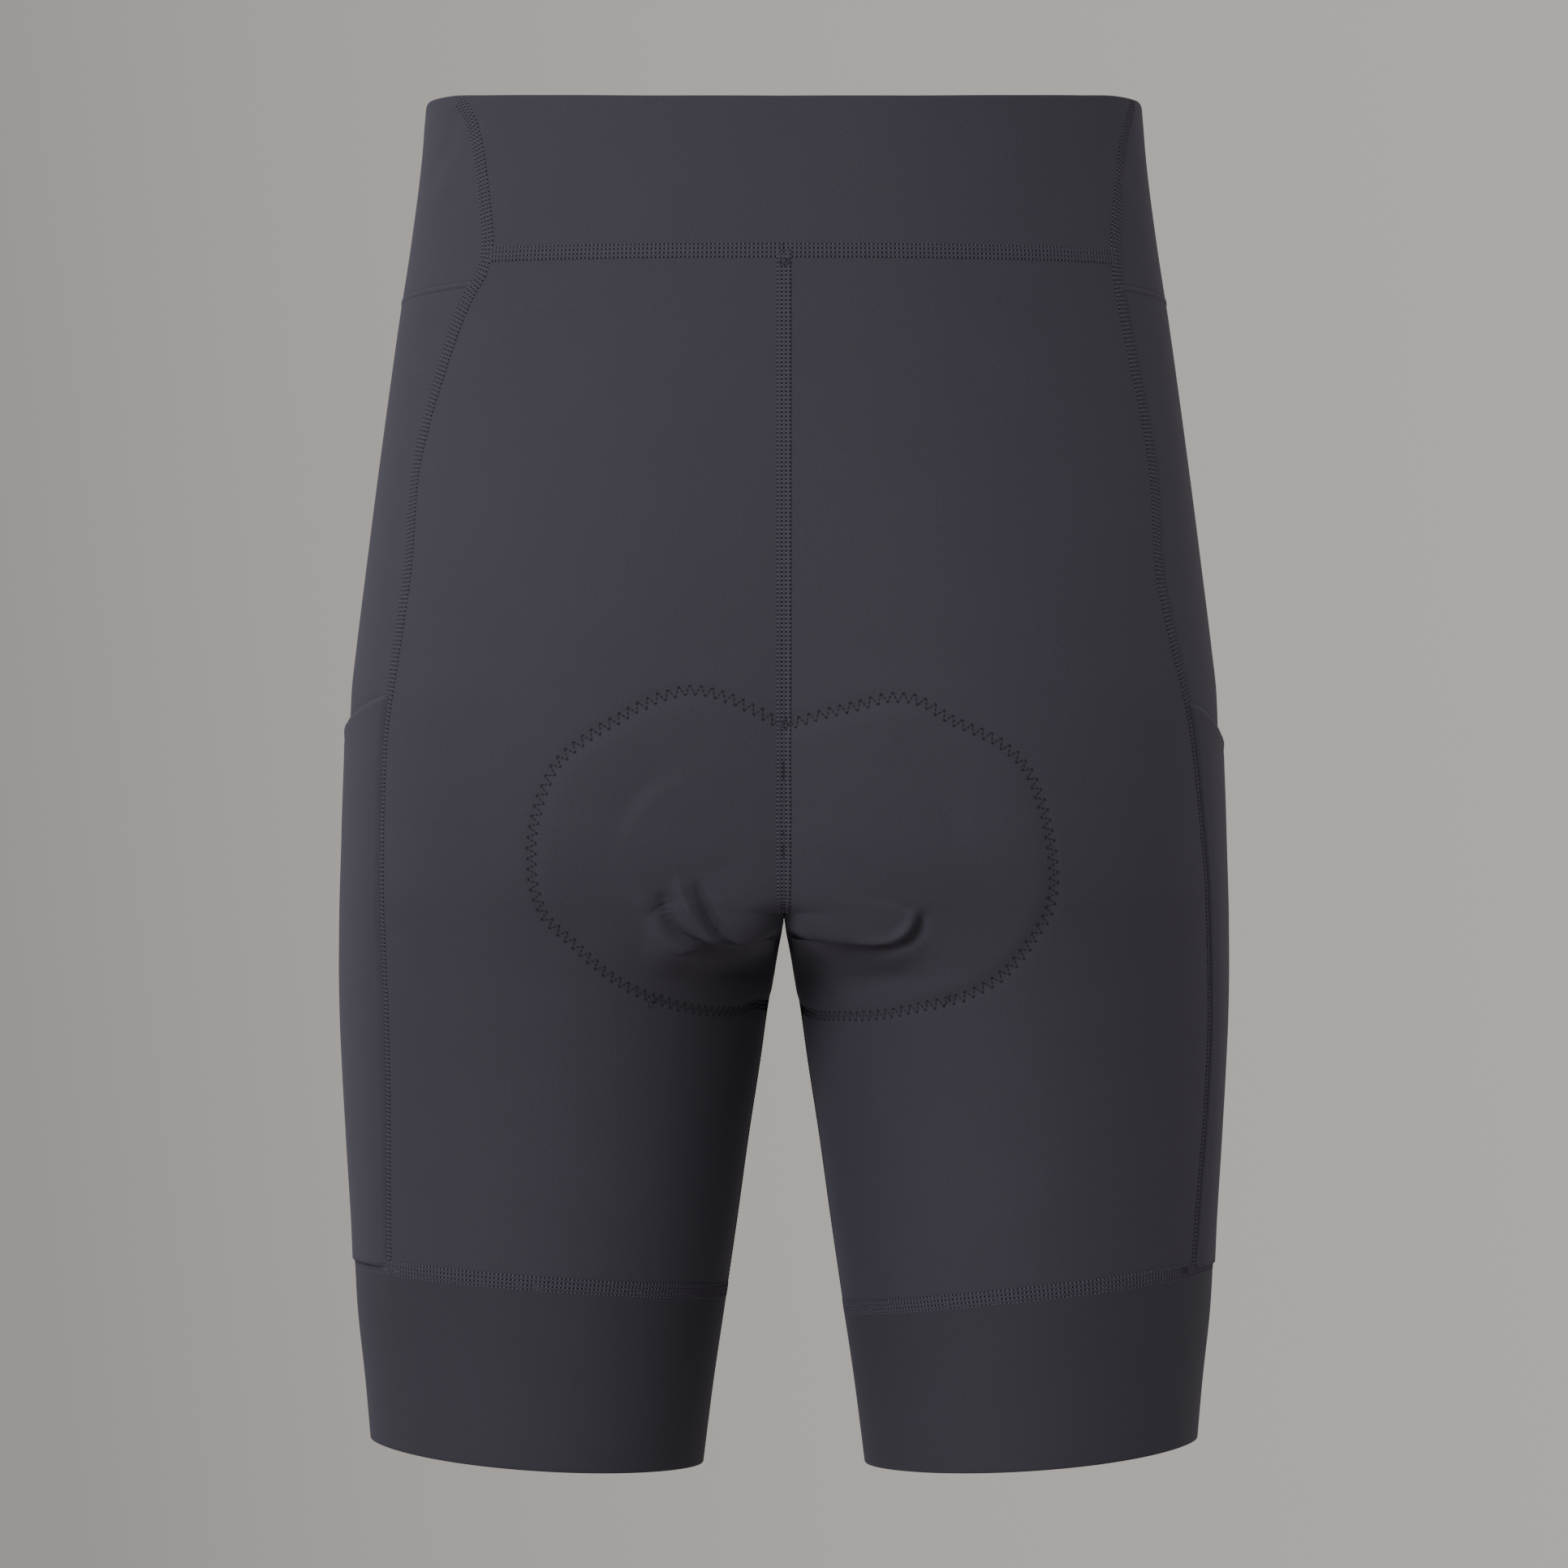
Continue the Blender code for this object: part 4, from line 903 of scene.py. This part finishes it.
# leg bands: a ring each, folded at the hem
legBand = {"wall": 1.6, "lift": 0.4, "rows": 34, "columns": 230}
for side, word in sideWord.items():
    angle = np.linspace(-math.pi, math.pi, legBand["columns"], endpoint=False)
    radius = legBand["wall"] / 2
    depth = (bandSeam(0.0, side) - hemLevel(0.0)) / mm
    nearHem = depth - radius * (1 - np.cos(np.linspace(0, math.pi / 2, 6)))[::-1]
    share = np.concatenate([np.linspace(0, nearHem[0] - 1, legBand["rows"]), nearHem]) / depth
    top = bandSeam(angle, side) - halfGap
    level = top + (hemLevel(angle) - top) * share[:, None]
    angle = angle + 0 * level
    shown = clothPiece("leg_band_" + word, angle, level, side, legBand, lift=legBand["lift"] * mm,
                       lowFold=True, ring=True)
    finishCloth("leg_band_" + word + "_jersey", *shown, bandKnit, "leg_band_" + word, "band_knit",
                ["back_panel_" + word + "_jersey", "front_panel_" + word + "_jersey"], ring=True)


# waistband: the back piece between the side seams, the front piece round the rest
waistband = {"wall": 1.7, "wide": True, "rows": 40, "backColumns": 66, "frontColumns": 110}


def waistbandHalf(side, behind, columns):
    share = np.linspace(0, 1, columns)
    turn = 1 if behind else -1
    radius = waistband["wall"] * mm / 2
    nearTop = radius * (1 - np.cos(np.linspace(0, math.pi / 2, 6))) / (60 * mm)
    rows = np.concatenate([nearTop, np.linspace(nearTop[-1], 1, waistband["rows"])[1:]])[:, None]
    level = 30 * mm - 60 * mm * rows + 0 * share
    for _ in range(6):
        start = backSeamAngle(level, side) + turn * gapTurn
        angle = start + (turn * math.pi / 2 - start) * share
        edge = (backWaistSeam if behind else frontWaistSeam(angle[-1])) + halfGap
        level = waistTop(angle[0]) + (edge - waistTop(angle[0])) * rows
    return angle, level


waistCreases = (((131, 22), (127, 12), (125, -2)), 0.5, 3.0), (((121, 24), (124, 14), (130, 2)), -0.45, 2.6)
waistPieces = (("waistband_back_jersey", "back_waistband", True, "backColumns"),
               ("waistband_front_jersey", "front_waistband", False, "frontColumns"))
for name, node, behind, columns in waistPieces:
    halves = []
    for side in (left, right):
        angle, level = waistbandHalf(side, behind, waistband[columns])
        points = bodyPoint(angle, level)
        lift = np.zeros(angle.shape)
        for path, most, width in waistCreases:
            line, _ = pathPoints(path)
            away = np.hypot(points[..., 0, None] - line[:, 0], points[..., 2, None] - line[:, 1]).min(-1)
            height = most if side == left else 0.5 * most
            lift += height * mm * np.exp(-((away / (width * mm)) ** 2)) * (points[..., 1] < 0)
        halves.append(clothPiece(node, angle, level, side, waistband, lift=lift, topFold=True))
    joined = [np.concatenate([halves[0][k], halves[1][k][:, -2::-1]], axis=1) for k in (0, 1)]
    u, v = halves[0][2:]
    uOther, vOther = halves[1][2:]
    u = np.concatenate([u, u[:, -1:] + (uOther[:, -1:] - uOther[:, -2::-1])], axis=1)
    v = np.concatenate([v, vOther[:, -2::-1]], axis=1)
    finishCloth(name, *joined, u, v, waistKnit, node, "waistband_knit", [])
print("leg bands and waistband made")


# seat pad: a closed form with two lobes behind, a channel along its middle and a thin edge
padDetail = {"rows": 150, "halfColumns": 56, "channel": 2.2, "channelWidth": 7,
             # how deep the foam is pressed; share of the half-width, width and strength of each line
             "pressed": 0.8, "pressedLines": ((0.62, 0.06, 1), (0.36, 0.05, 0.8))}
along = spaced(0, padShape["length"], padDetail["rows"], 60, 70, 0.5) * mm
halfWidth = smoothCurve(padShape["outline"][:, 0] * mm, padShape["outline"][:, 1] * mm, along)
share = np.linspace(0, 1, padDetail["halfColumns"]) ** 1.05
rise = padShape["lobeRise"] * mm * np.sin(np.clip(share / padShape["lobeShare"], 0, 2) * math.pi / 2) ** 2
station = along[:, None] - rise * np.exp(-((along[:, None] / (35 * mm)) ** 2))
out = halfWidth[:, None] * share
padAngle, padLevel = netPlace(station, out)
padPoints = bodyPoint(padAngle, padLevel)
padNormal = bodyNormal(padAngle, padLevel)
padNormal[..., 0] *= smoothStep(0, 12 * mm, out)
padNormal = unit(padNormal)
padPoints[:, 0, 0] = 0
fromEnd = padShape["length"] * mm - along
ends = (smoothStep(-2 * mm, 30 * mm, along) * smoothStep(-2 * mm, 30 * mm, fromEnd))[:, None]
thickness = (padShape["edge"] + (padShape["middle"] - padShape["edge"]) * (1 - share**4) * ends) * mm
thickness -= padDetail["channel"] * mm * np.exp(-((out / (padDetail["channelWidth"] * mm)) ** 2)) * ends
ridge = sum(most * np.exp(-(((share - at) / width) ** 2)) for at, width, most in padDetail["pressedLines"])
thickness -= padDetail["pressed"] * mm * ridge * ends
stitched = smoothStep(0.7, 1, share) * smoothStep(-65 * mm, -35 * mm, -along)[:, None]
clearance = (padShape["clearance"] + (padShape["stitchedClearance"] - padShape["clearance"]) * stitched) * mm
extra, foldLevel, foldReach = (value * mm for value in padShape["foldClearance"])
clearance = clearance + extra * np.exp(-(((padPoints[..., 2] - foldLevel) / foldReach) ** 2))
padLayers = []
for side in (left, right):
    tuck = foldHeight(padPoints * np.array([side, 1, 1]), side)
    tuck = np.minimum(tuck, 0) * 1.25 + np.maximum(tuck, 0) * 0.3
    outer = padPoints + (tuck - legPanel["wall"] * mm - clearance)[..., None] * padNormal
    inner = outer - thickness[..., None] * padNormal
    for layer in (outer, inner):
        layer[..., 0] = np.maximum(layer[..., 0], 0) * side
    padLayers.append((outer, inner))
outer, inner = (np.concatenate([padLayers[0][k][:, :0:-1], padLayers[1][k]], axis=1) for k in (0, 1))
u, v = arcs(outer)
seatPad = wallMesh("seat_pad_cushion", outer, inner, u, v, padMaterial)
placed(seatPad)
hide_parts("seat_pad")
print("seat pad made")


# sewing. A seam band is the strip of surface along a seam: rows follow the seam, columns run across
flatSeam = {
    "needleRows": (-2.4, -0.8, 0.8, 2.4), "pitch": 1.55, "stitch": 0.98, "coverLean": 0.45,
    # width, height and sink of each thread
    "needle": (0.40, 0.26, 0.22), "cover": (0.26, 0.2, 0.1),
    "needleJitter": 0.05, "coverJitter": 0.06, "coverInset": 0.22, "step": 0.12, "dive": 1.1,
    "offsets": (0, 0.8, 1.6, 2.3, 2.62, 2.85), "bulge": (0.22, 0.24, 0.2, 0.22, 0.1, -0.35),
    "inside": (1.55, 1.55, 1.5, 1.45, 1.3, 0.9), "underWaistTop": 0.8,
}


def clothHeight(points, angle, level, side):
    return foldHeight(points * np.array([side, 1, 1]), side) + padRelief(points, angle, level, side)


# evens out a path of (angle, level) so that its points lie "step" apart
def evenPath(angle, level, step):
    points = bodyPoint(angle, level)
    gone = lengthAlong(points)
    at = np.linspace(0, gone[-1], max(8, int(gone[-1] / step)))
    return np.interp(at, gone, angle), np.interp(at, gone, level), at


# strip of surface points and normals beside a path on one half of the body. Negative offsets lie on
# the other side of the path
def surfaceStrip(angle, level, side, offsets, base, mirror=False, underWaistTop=None):
    ahead = unit(np.gradient(bodyPoint(angle, level), axis=0))
    if mirror:
        ahead[:, 0] = 0
        ahead = unit(ahead)
    angles, levels = laidAcross(angle, level, ahead, 1, np.array(offsets) * mm)
    if not mirror:
        otherAngles, otherLevels = laidAcross(angle, level, ahead, -1, np.array(offsets[1:]) * mm)
        angles = np.concatenate([otherAngles[:, ::-1], angles], 1)
        levels = np.concatenate([otherLevels[:, ::-1], levels], 1)
    if underWaistTop is not None:
        levels = np.minimum(levels, waistTop(angles) - underWaistTop)
    points = bodyPoint(angles, levels)
    normals = bodyNormal(angles, levels)
    height = base(points, angles, levels)
    if mirror:
        fade = smoothStep(0, 2.5 * mm, np.array(offsets) * mm)[None, :]
        normals[..., 0] *= fade
        normals = unit(normals)
        points[:, 0, 0] = 0
    points = points + height[..., None] * normals
    flip = np.array([side, 1, 1])
    return points * flip, normals * flip


def joinHalves(rightStrip, leftStrip):
    return tuple(np.concatenate([leftStrip[k][:, :0:-1], rightStrip[k]], axis=1) for k in (0, 1))


def bandOffsets():
    half = np.array(flatSeam["offsets"])
    return np.concatenate([-half[:0:-1], half])


# profile over the whole width of a seam from its half
def bothSides(half):
    return np.array(half[:0:-1] + half) * mm


# place on a seam band: distance along, offset across, height over it
def onBand(band, along, offset, height):
    points, normals, gone = band
    rowAt = np.interp(along, gone, np.arange(len(gone)))
    columnAt = np.interp(offset, bandOffsets() * mm, np.arange(len(bandOffsets())))
    normal = unit(gridValue(normals, rowAt, columnAt))
    return gridValue(points, rowAt, columnAt) + height[..., None] * normal, normal


# threads: each is a flattened capsule of ten points, whose ends dive into the cloth
def threadCapsules(start, end, normal, thread):
    wide, high, sink = (value * mm for value in thread)
    ahead = end - start
    across = unit(np.cross(ahead, normal)) * wide / 2
    up = unit(np.cross(across, ahead)) * high / 2
    up *= np.sign((up * normal).sum(-1, keepdims=True))
    near = start + 0.16 * ahead
    far = end - 0.16 * ahead
    down = normal * sink
    rings = [start - down]
    for middle in (near, far):
        rings += [middle + up, middle + across, middle - up, middle - across]
    rings.append(end - down)
    return np.stack(rings, 1)


capsuleQuads = np.array([(1, 2, 6, 5), (2, 3, 7, 6), (3, 4, 8, 7), (4, 1, 5, 8)])
capsuleTips = np.array([(0, 2, 1), (0, 3, 2), (0, 4, 3), (0, 1, 4),
                        (9, 5, 6), (9, 6, 7), (9, 7, 8), (9, 8, 5)])


def threadObject(name, capsules, material):
    count = len(capsules)
    first = (np.arange(count) * 10)[:, None, None]
    quads = (first + capsuleQuads).reshape(-1, 4)
    tips = (first + capsuleTips).reshape(-1, 3)
    points = capsules.reshape(-1, 3)
    centre = capsules.mean(1)
    face = capsules[:, capsuleQuads[0]]
    facing = np.cross(face[:, 1] - face[:, 0], face[:, 3] - face[:, 0])
    turned = (facing * (face.mean(1) - centre)).sum(-1) < 0
    quads[np.repeat(turned, 4)] = quads[np.repeat(turned, 4)][:, ::-1]
    tips[np.repeat(turned, 8)] = tips[np.repeat(turned, 8)][:, ::-1]
    corners = np.concatenate([quads.ravel(), tips.ravel()])
    sizes = np.concatenate([np.full(len(quads), 4), np.full(len(tips), 3)])
    piece = meshObject(name, points, corners, sizes, None, material)
    placed(piece)


rng = np.random.default_rng(7)
needleCapsules = []
coverCapsules = []


# a four-needle flat seam: a low bed with rounded edges, four rows of stitches and the cover thread
# that leans from row to row between them
def flatLock(name, strip, lean=1, stepSide=0, dive=False):
    points, normals = strip
    gone = lengthAlong(points[:, points.shape[1] // 2])
    band = (points, normals, gone)
    profile = bothSides(flatSeam["bulge"])
    if stepSide:
        profile = profile + flatSeam["step"] * mm * np.exp(-((bandOffsets() - 2.5 * stepSide) ** 2))
    # the first rows of a seam that starts at a folded edge sink into the fold
    depth = flatSeam["dive"] * mm
    sunk = depth * np.exp(-((gone[:, None] / depth) ** 2)) if dive else 0 * gone[:, None]
    pitch = flatSeam["pitch"] * mm
    count = int(gone[-1] / pitch)
    outer = points + (profile - sunk)[..., None] * normals
    inner = points - bothSides(flatSeam["inside"])[:, None] * normals
    # the bed's map: millimetres across it, and along it one pitch for each stitch
    u = np.broadcast_to((bandOffsets() + bandOffsets()[-1]) * mm, points.shape[:2])
    v = np.broadcast_to((gone * count * pitch / gone[-1])[:, None], points.shape[:2])
    placed(wallMesh("seam_bed_" + name, outer, inner, u, v, seamBed))
    place = (np.arange(count) + 0.5) * gone[-1] / count
    if dive:
        place = place[1:]
        count -= 1
    top = (flatSeam["bulge"][0] + 0.02) * mm
    rows = np.array(flatSeam["needleRows"]) * mm
    halfStitch = flatSeam["stitch"] * mm / 2
    for offset in rows:
        jitter = rng.normal(0, flatSeam["needleJitter"] * mm, count)
        height = np.full(count, top - (0.05 * mm if abs(offset) > 2 * mm else 0))
        start, normal = onBand(band, place - halfStitch, offset + jitter, height)
        end, _ = onBand(band, place + halfStitch, offset + jitter, height)
        needleCapsules.append(threadCapsules(start, end, normal, flatSeam["needle"]))
    shift = lean * flatSeam["coverLean"] * pitch / 2
    inset = flatSeam["coverInset"] * mm
    height = np.full(count, top - 0.04 * mm)
    for a, b in zip(rows[:-1], rows[1:]):
        for phase in (0.0, 0.5):
            middle = place + phase * pitch + rng.normal(0, flatSeam["coverJitter"] * mm, count)
            start, normal = onBand(band, middle - shift, a + inset + 0 * middle, height)
            end, _ = onBand(band, middle + shift, b - inset + 0 * middle, height)
            coverCapsules.append(threadCapsules(start, end, normal, flatSeam["cover"]))
    return band


def flat(points, angles, levels):
    return np.zeros(angles.shape)


def levelsBetween(start, end, step=1.7):
    return np.linspace(start, end, max(8, int(abs(end - start) / (step * mm))))


stripStep = 1.7 * mm
turnedSeam = {"offsets": (0, 0.5, 1.0, 1.6), "bulge": (0.3, 0.26, 0.12, -0.3), "inside": 1.3}


# height of the seat's cloth under a strip that may run past the middle of the body
def seatHeight(side):
    return lambda points, angles, levels: clothHeight(
        points, np.where(angles > math.pi, angles - 2 * math.pi, angles), levels, side)


def sewAlong(name, angle, level, side, lean, base=flat, fromWaistTop=False):
    angle, level, _ = evenPath(angle, level, stripStep)
    clamp = flatSeam["underWaistTop"] * mm if fromWaistTop else None
    strip = surfaceStrip(angle, level, side, flatSeam["offsets"], base, underWaistTop=clamp)
    return flatLock(name + sideWord[side], strip, lean=lean, dive=fromWaistTop)


# centre seam: down the seat, under the body and up the front
level = levelsBetween(backWaistSeam, -152 * mm)
under, underLevel = crotchLine(np.linspace(-50, 298, 240) * mm)
keep = underLevel < -153 * mm
front = levelsBetween(underLevel[-1] + 1 * mm, bodyForm["frontWaistSeam"][0][1] * mm)
frontAngle = 2 * math.pi - centreAngle(front, "front", 0)
angle = np.concatenate([centreAngle(level, "back", 0), under[keep], frontAngle])
angle, level, _ = evenPath(angle, np.concatenate([level, underLevel[keep], front]), stripStep)
centreStrips = [surfaceStrip(angle, level, side, flatSeam["offsets"], seatHeight(side), mirror=True)
                for side in (right, left)]
seamBands = {"centre": flatLock("centre", joinHalves(*centreStrips), lean=1, stepSide=1)}

atFrontWaist = np.array(-43 * mm)
for side, word in sideWord.items():
    bandOuter, bandInner = (value * mm for value in bodyForm["bandSeam"][side])
    # waist seam behind, from the side seam to the middle
    angle = np.linspace(float(backSeamAngle(np.array(backWaistSeam), side)), math.pi / 2, 200)
    sewAlong("waist_back_", angle, backWaistSeam + 0 * angle, side, -side)
    # waist seam in front, from the front seam to the middle
    frontAngle = float(frontSeamAngle(atFrontWaist))
    angle = np.linspace(frontAngle, -math.pi / 2, 240)
    sewAlong("waist_front_", angle, frontWaistSeam(angle), side, side)
    # on the side itself it is a plain turned seam: a faint smooth ridge
    lowLevel = bodyForm["frontWaistSeam"][2][1] * mm
    angle = np.linspace(float(backSeamAngle(np.array(lowLevel), side)), frontAngle, 160)
    angle, level, _ = evenPath(angle, frontWaistSeam(angle), stripStep)
    points, normals = surfaceStrip(angle, level, side, turnedSeam["offsets"], flat)
    outer = points + bothSides(turnedSeam["bulge"])[:, None] * normals
    inner = points - turnedSeam["inside"] * mm * normals
    placed(wallMesh("turned_seam_" + word, outer, inner, *arcs(points), bodyKnit))
    # back seam of the side: from the waistband's top edge down to the leg band
    top = float(waistTop(backSeamAngle(np.array(31 * mm), side))) - 0.9 * mm
    level = levelsBetween(top, bandOuter)
    sewAlong("side_", backSeamAngle(level, side), level, side, side, fromWaistTop=True)
    # front seam of the side
    level = levelsBetween(float(frontWaistSeam(frontSeamAngle(atFrontWaist))), bandOuter)
    sewAlong("side_front_", frontSeamAngle(level), level, side, side)
    # inner leg seam
    level = levelsBetween(crotchLevel - 2 * mm, bandInner)
    sewAlong("inner_leg_", math.pi + 0 * level, level, side, side)
    # seam above the leg band, all round
    angle = np.linspace(math.pi, -math.pi, 500)
    seamBands["band" + word] = sewAlong("leg_band_", angle, bandSeam(angle, side), side, -side,
                                        base=lambda p, a, l: 0.2 * mm + 0 * a)

# the pad's zigzag: three small stitches on each leg of it
zigzag = {"pitch": 3.85, "swing": 2.1, "stitchesPerLeg": 3, "thread": (0.38, 0.3, 0.3), "height": 0.10,
          "jitter": 0.08, "offsets": (0, 0.8, 1.6, 2.4, 2.85, 3.15)}
zigzagCapsules = []
for side, word in sideWord.items():
    angle, level, _ = evenPath(*stitchLines[side], 1.2 * mm)
    strip = surfaceStrip(angle, level, side, zigzag["offsets"], seatHeight(side))
    gone = lengthAlong(strip[0][:, strip[0].shape[1] // 2])
    band = (*strip, gone)
    perPeriod = 2 * zigzag["stitchesPerLeg"]
    count = int(gone[-1] / (zigzag["pitch"] * mm)) * perPeriod
    step = np.arange(count + 1)
    alongLine = step * gone[-1] / count
    phase = (step % perPeriod) / perPeriod
    swing = (1 - 4 * np.abs(phase - 0.5)) * zigzag["swing"] * mm
    swing = swing + rng.normal(0, zigzag["jitter"] * mm, count + 1)
    nodes, normal = onBand(band, alongLine, swing, np.full(count + 1, zigzag["height"] * mm))
    ahead = nodes[1:] - nodes[:-1]
    start = nodes[:-1] + 0.08 * ahead
    end = nodes[1:] - 0.08 * ahead
    zigzagCapsules.append(threadCapsules(start, end, normal[:-1], zigzag["thread"]))
    seamBands["pad" + word] = band

for kind, capsules, thread in (("needle_stitches", needleCapsules, needleThread),
                               ("cover_threads", coverCapsules, coverThread)):
    half = len(capsules) // 2
    threadObject(kind + "_upper", np.concatenate(capsules[:half]), thread)
    threadObject(kind + "_lower", np.concatenate(capsules[half:]), thread)
threadObject("pad_zigzag_stitches", np.concatenate(zigzagCapsules), padThread)

# knots where seams start, end or cross: short thread ends lying over each other. Seam, place along
# it (metres, or a share of its length from 0.3 up), offset across, thread ends
knots = (("centre", 0.004, 0.0, 26), ("centre", 0.1745, 0.0, 26), ("bandleft", 0.60, 0.0, 12),
         ("bandright", 0.40, 0.0, 12), ("padleft", 0.206, 0.6, 14), ("padright", 0.205, -0.4, 8))
knotThread = (0.28, 0.24, 0.25)
knotCapsules = []
for name, along, offset, count in knots:
    length = seamBands[name][2][-1]
    alongKnot = (along if along < 0.3 else along * length) + rng.normal(0, 1.0 * mm, count)
    offsetKnot = offset * mm + rng.normal(0, 1.1 * mm, count)
    heights = (0.5 + 0.2 * rng.random(count)) * mm
    middle, normal = onBand(seamBands[name], np.maximum(alongKnot, 0.1 * mm), offsetKnot, heights)
    lean = unit(np.cross(normal, rng.normal(0, 1, (count, 3)))) * (0.7 + 0.5 * rng.random((count, 1))) * mm
    knotCapsules.append(threadCapsules(middle - lean, middle + lean, normal, knotThread))
threadObject("seam_knots", np.concatenate(knotCapsules), coverThread)
print("sewing made:", sum(len(c) for c in needleCapsules + coverCapsules + zigzagCapsules), "threads")

# camera, room and light
cameraPlace = {"distance": 3.5, "level": -223, "view": 0.589}
cameraData = bpy.data.cameras.new("camera")
cameraData.sensor_width = 36
cameraData.lens = 36 * cameraPlace["distance"] / cameraPlace["view"]
cameraData.clip_end = 60
camera = bpy.data.objects.new("camera", cameraData)
camera.location = (0, -cameraPlace["distance"], cameraPlace["level"] * mm)
camera.rotation_euler = (math.pi / 2, 0, 0)
bpy.context.scene.collection.objects.link(camera)
bpy.context.scene.camera = camera

# plaster-like pale floor, well below the hanging shorts
floorForm = {"dark": "#B5B1AD", "light": "#C0BCB8", "radius": 7.5, "level": -1.25, "corners": 96}
floorMaterial, floorTree, floorShader = newMaterial("pale_matt_plaster", {
    "Roughness": 0.9, "Specular IOR Level": 0.2})
floorPlace = addNode(floorTree, "ShaderNodeTexCoord")
floorNoise = noiseOver(floorTree, floorPlace.outputs["Object"], 9.0, 5.0)
floorTree.links.new(mixOf(floorTree, floorNoise, *shades(floorForm)), floorShader.inputs["Base Color"])
corners = floorForm["corners"]
turn = np.linspace(0, 2 * math.pi, corners, endpoint=False)
floorPoints = np.stack([floorForm["radius"] * np.cos(turn), floorForm["radius"] * np.sin(turn),
                        np.full(corners, floorForm["level"])], 1)
floor = meshObject("floor", floorPoints, np.arange(corners), np.array([corners]), None, floorMaterial)

world = bpy.context.scene.world or bpy.data.worlds.new("room")
bpy.context.scene.world = world
world.use_nodes = True
tree = world.node_tree
background = tree.nodes["Background"]
# a pale grey room, a little darker on the left, brightest low on the right
room = {"strength": 1.0, "spread": 0.085, "slant": (1.0, 0.0, 0.12),
        "stops": ((0.0, "#A09B97"), (0.1, "#A7A39F"), (0.2, "#ADA8A4"), (0.5, "#B8B3AE"),
                  (0.8, "#BCB7B3"), (1.0, "#BFBAB5"))}
direction = addNode(tree, "ShaderNodeTexCoord")
slant = addNode(tree, "ShaderNodeVectorMath", {"operation": "DOT_PRODUCT"}, {
    0: direction.outputs["Generated"], 1: room["slant"]})
across = addNode(tree, "ShaderNodeMapRange", {}, {
    "Value": slant.outputs["Value"], "From Min": -room["spread"], "From Max": room["spread"]})
wall = addNode(tree, "ShaderNodeValToRGB", {}, {"Fac": across.outputs["Result"]})
stops = wall.color_ramp.elements
for place, hexColour in room["stops"][1:-1]:
    stops.new(place).color = toLinear(hexColour)
stops[0].color = toLinear(room["stops"][0][1])
stops[-1].color = toLinear(room["stops"][-1][1])
tree.links.new(wall.outputs["Color"], background.inputs["Color"])
background.inputs["Strength"].default_value = room["strength"]

lamps = {
    "key": {"at": (-1.7, -2.95, 1.1), "size": 1.6, "power": 118, "colour": "#FFFDFA"},
    "upperLeft": {"at": (-2.3, 1.2, 2.0), "size": 1.4, "power": 32, "colour": "#FFFFFF"},
    "rim": {"at": (3.0, 0.5, 0.4), "size": 1.2, "power": 13, "colour": "#F6F6FF"},
}
litPlace = (0, 0, -0.22)
for name, lamp in lamps.items():
    data = bpy.data.lights.new(name, "AREA")
    data.size = lamp["size"]
    data.energy = lamp["power"]
    data.color = toLinear(lamp["colour"])[:3]
    light = bpy.data.objects.new(name, data)
    at = np.array(lamp["at"])
    toward = np.array(litPlace) - at
    light.location = at
    tilt = math.atan2(math.hypot(toward[0], toward[1]), -toward[2])
    light.rotation_euler = (tilt, 0, math.atan2(toward[1], toward[0]) - math.pi / 2)
    bpy.context.scene.collection.objects.link(light)
print("camera, floor and light ready")
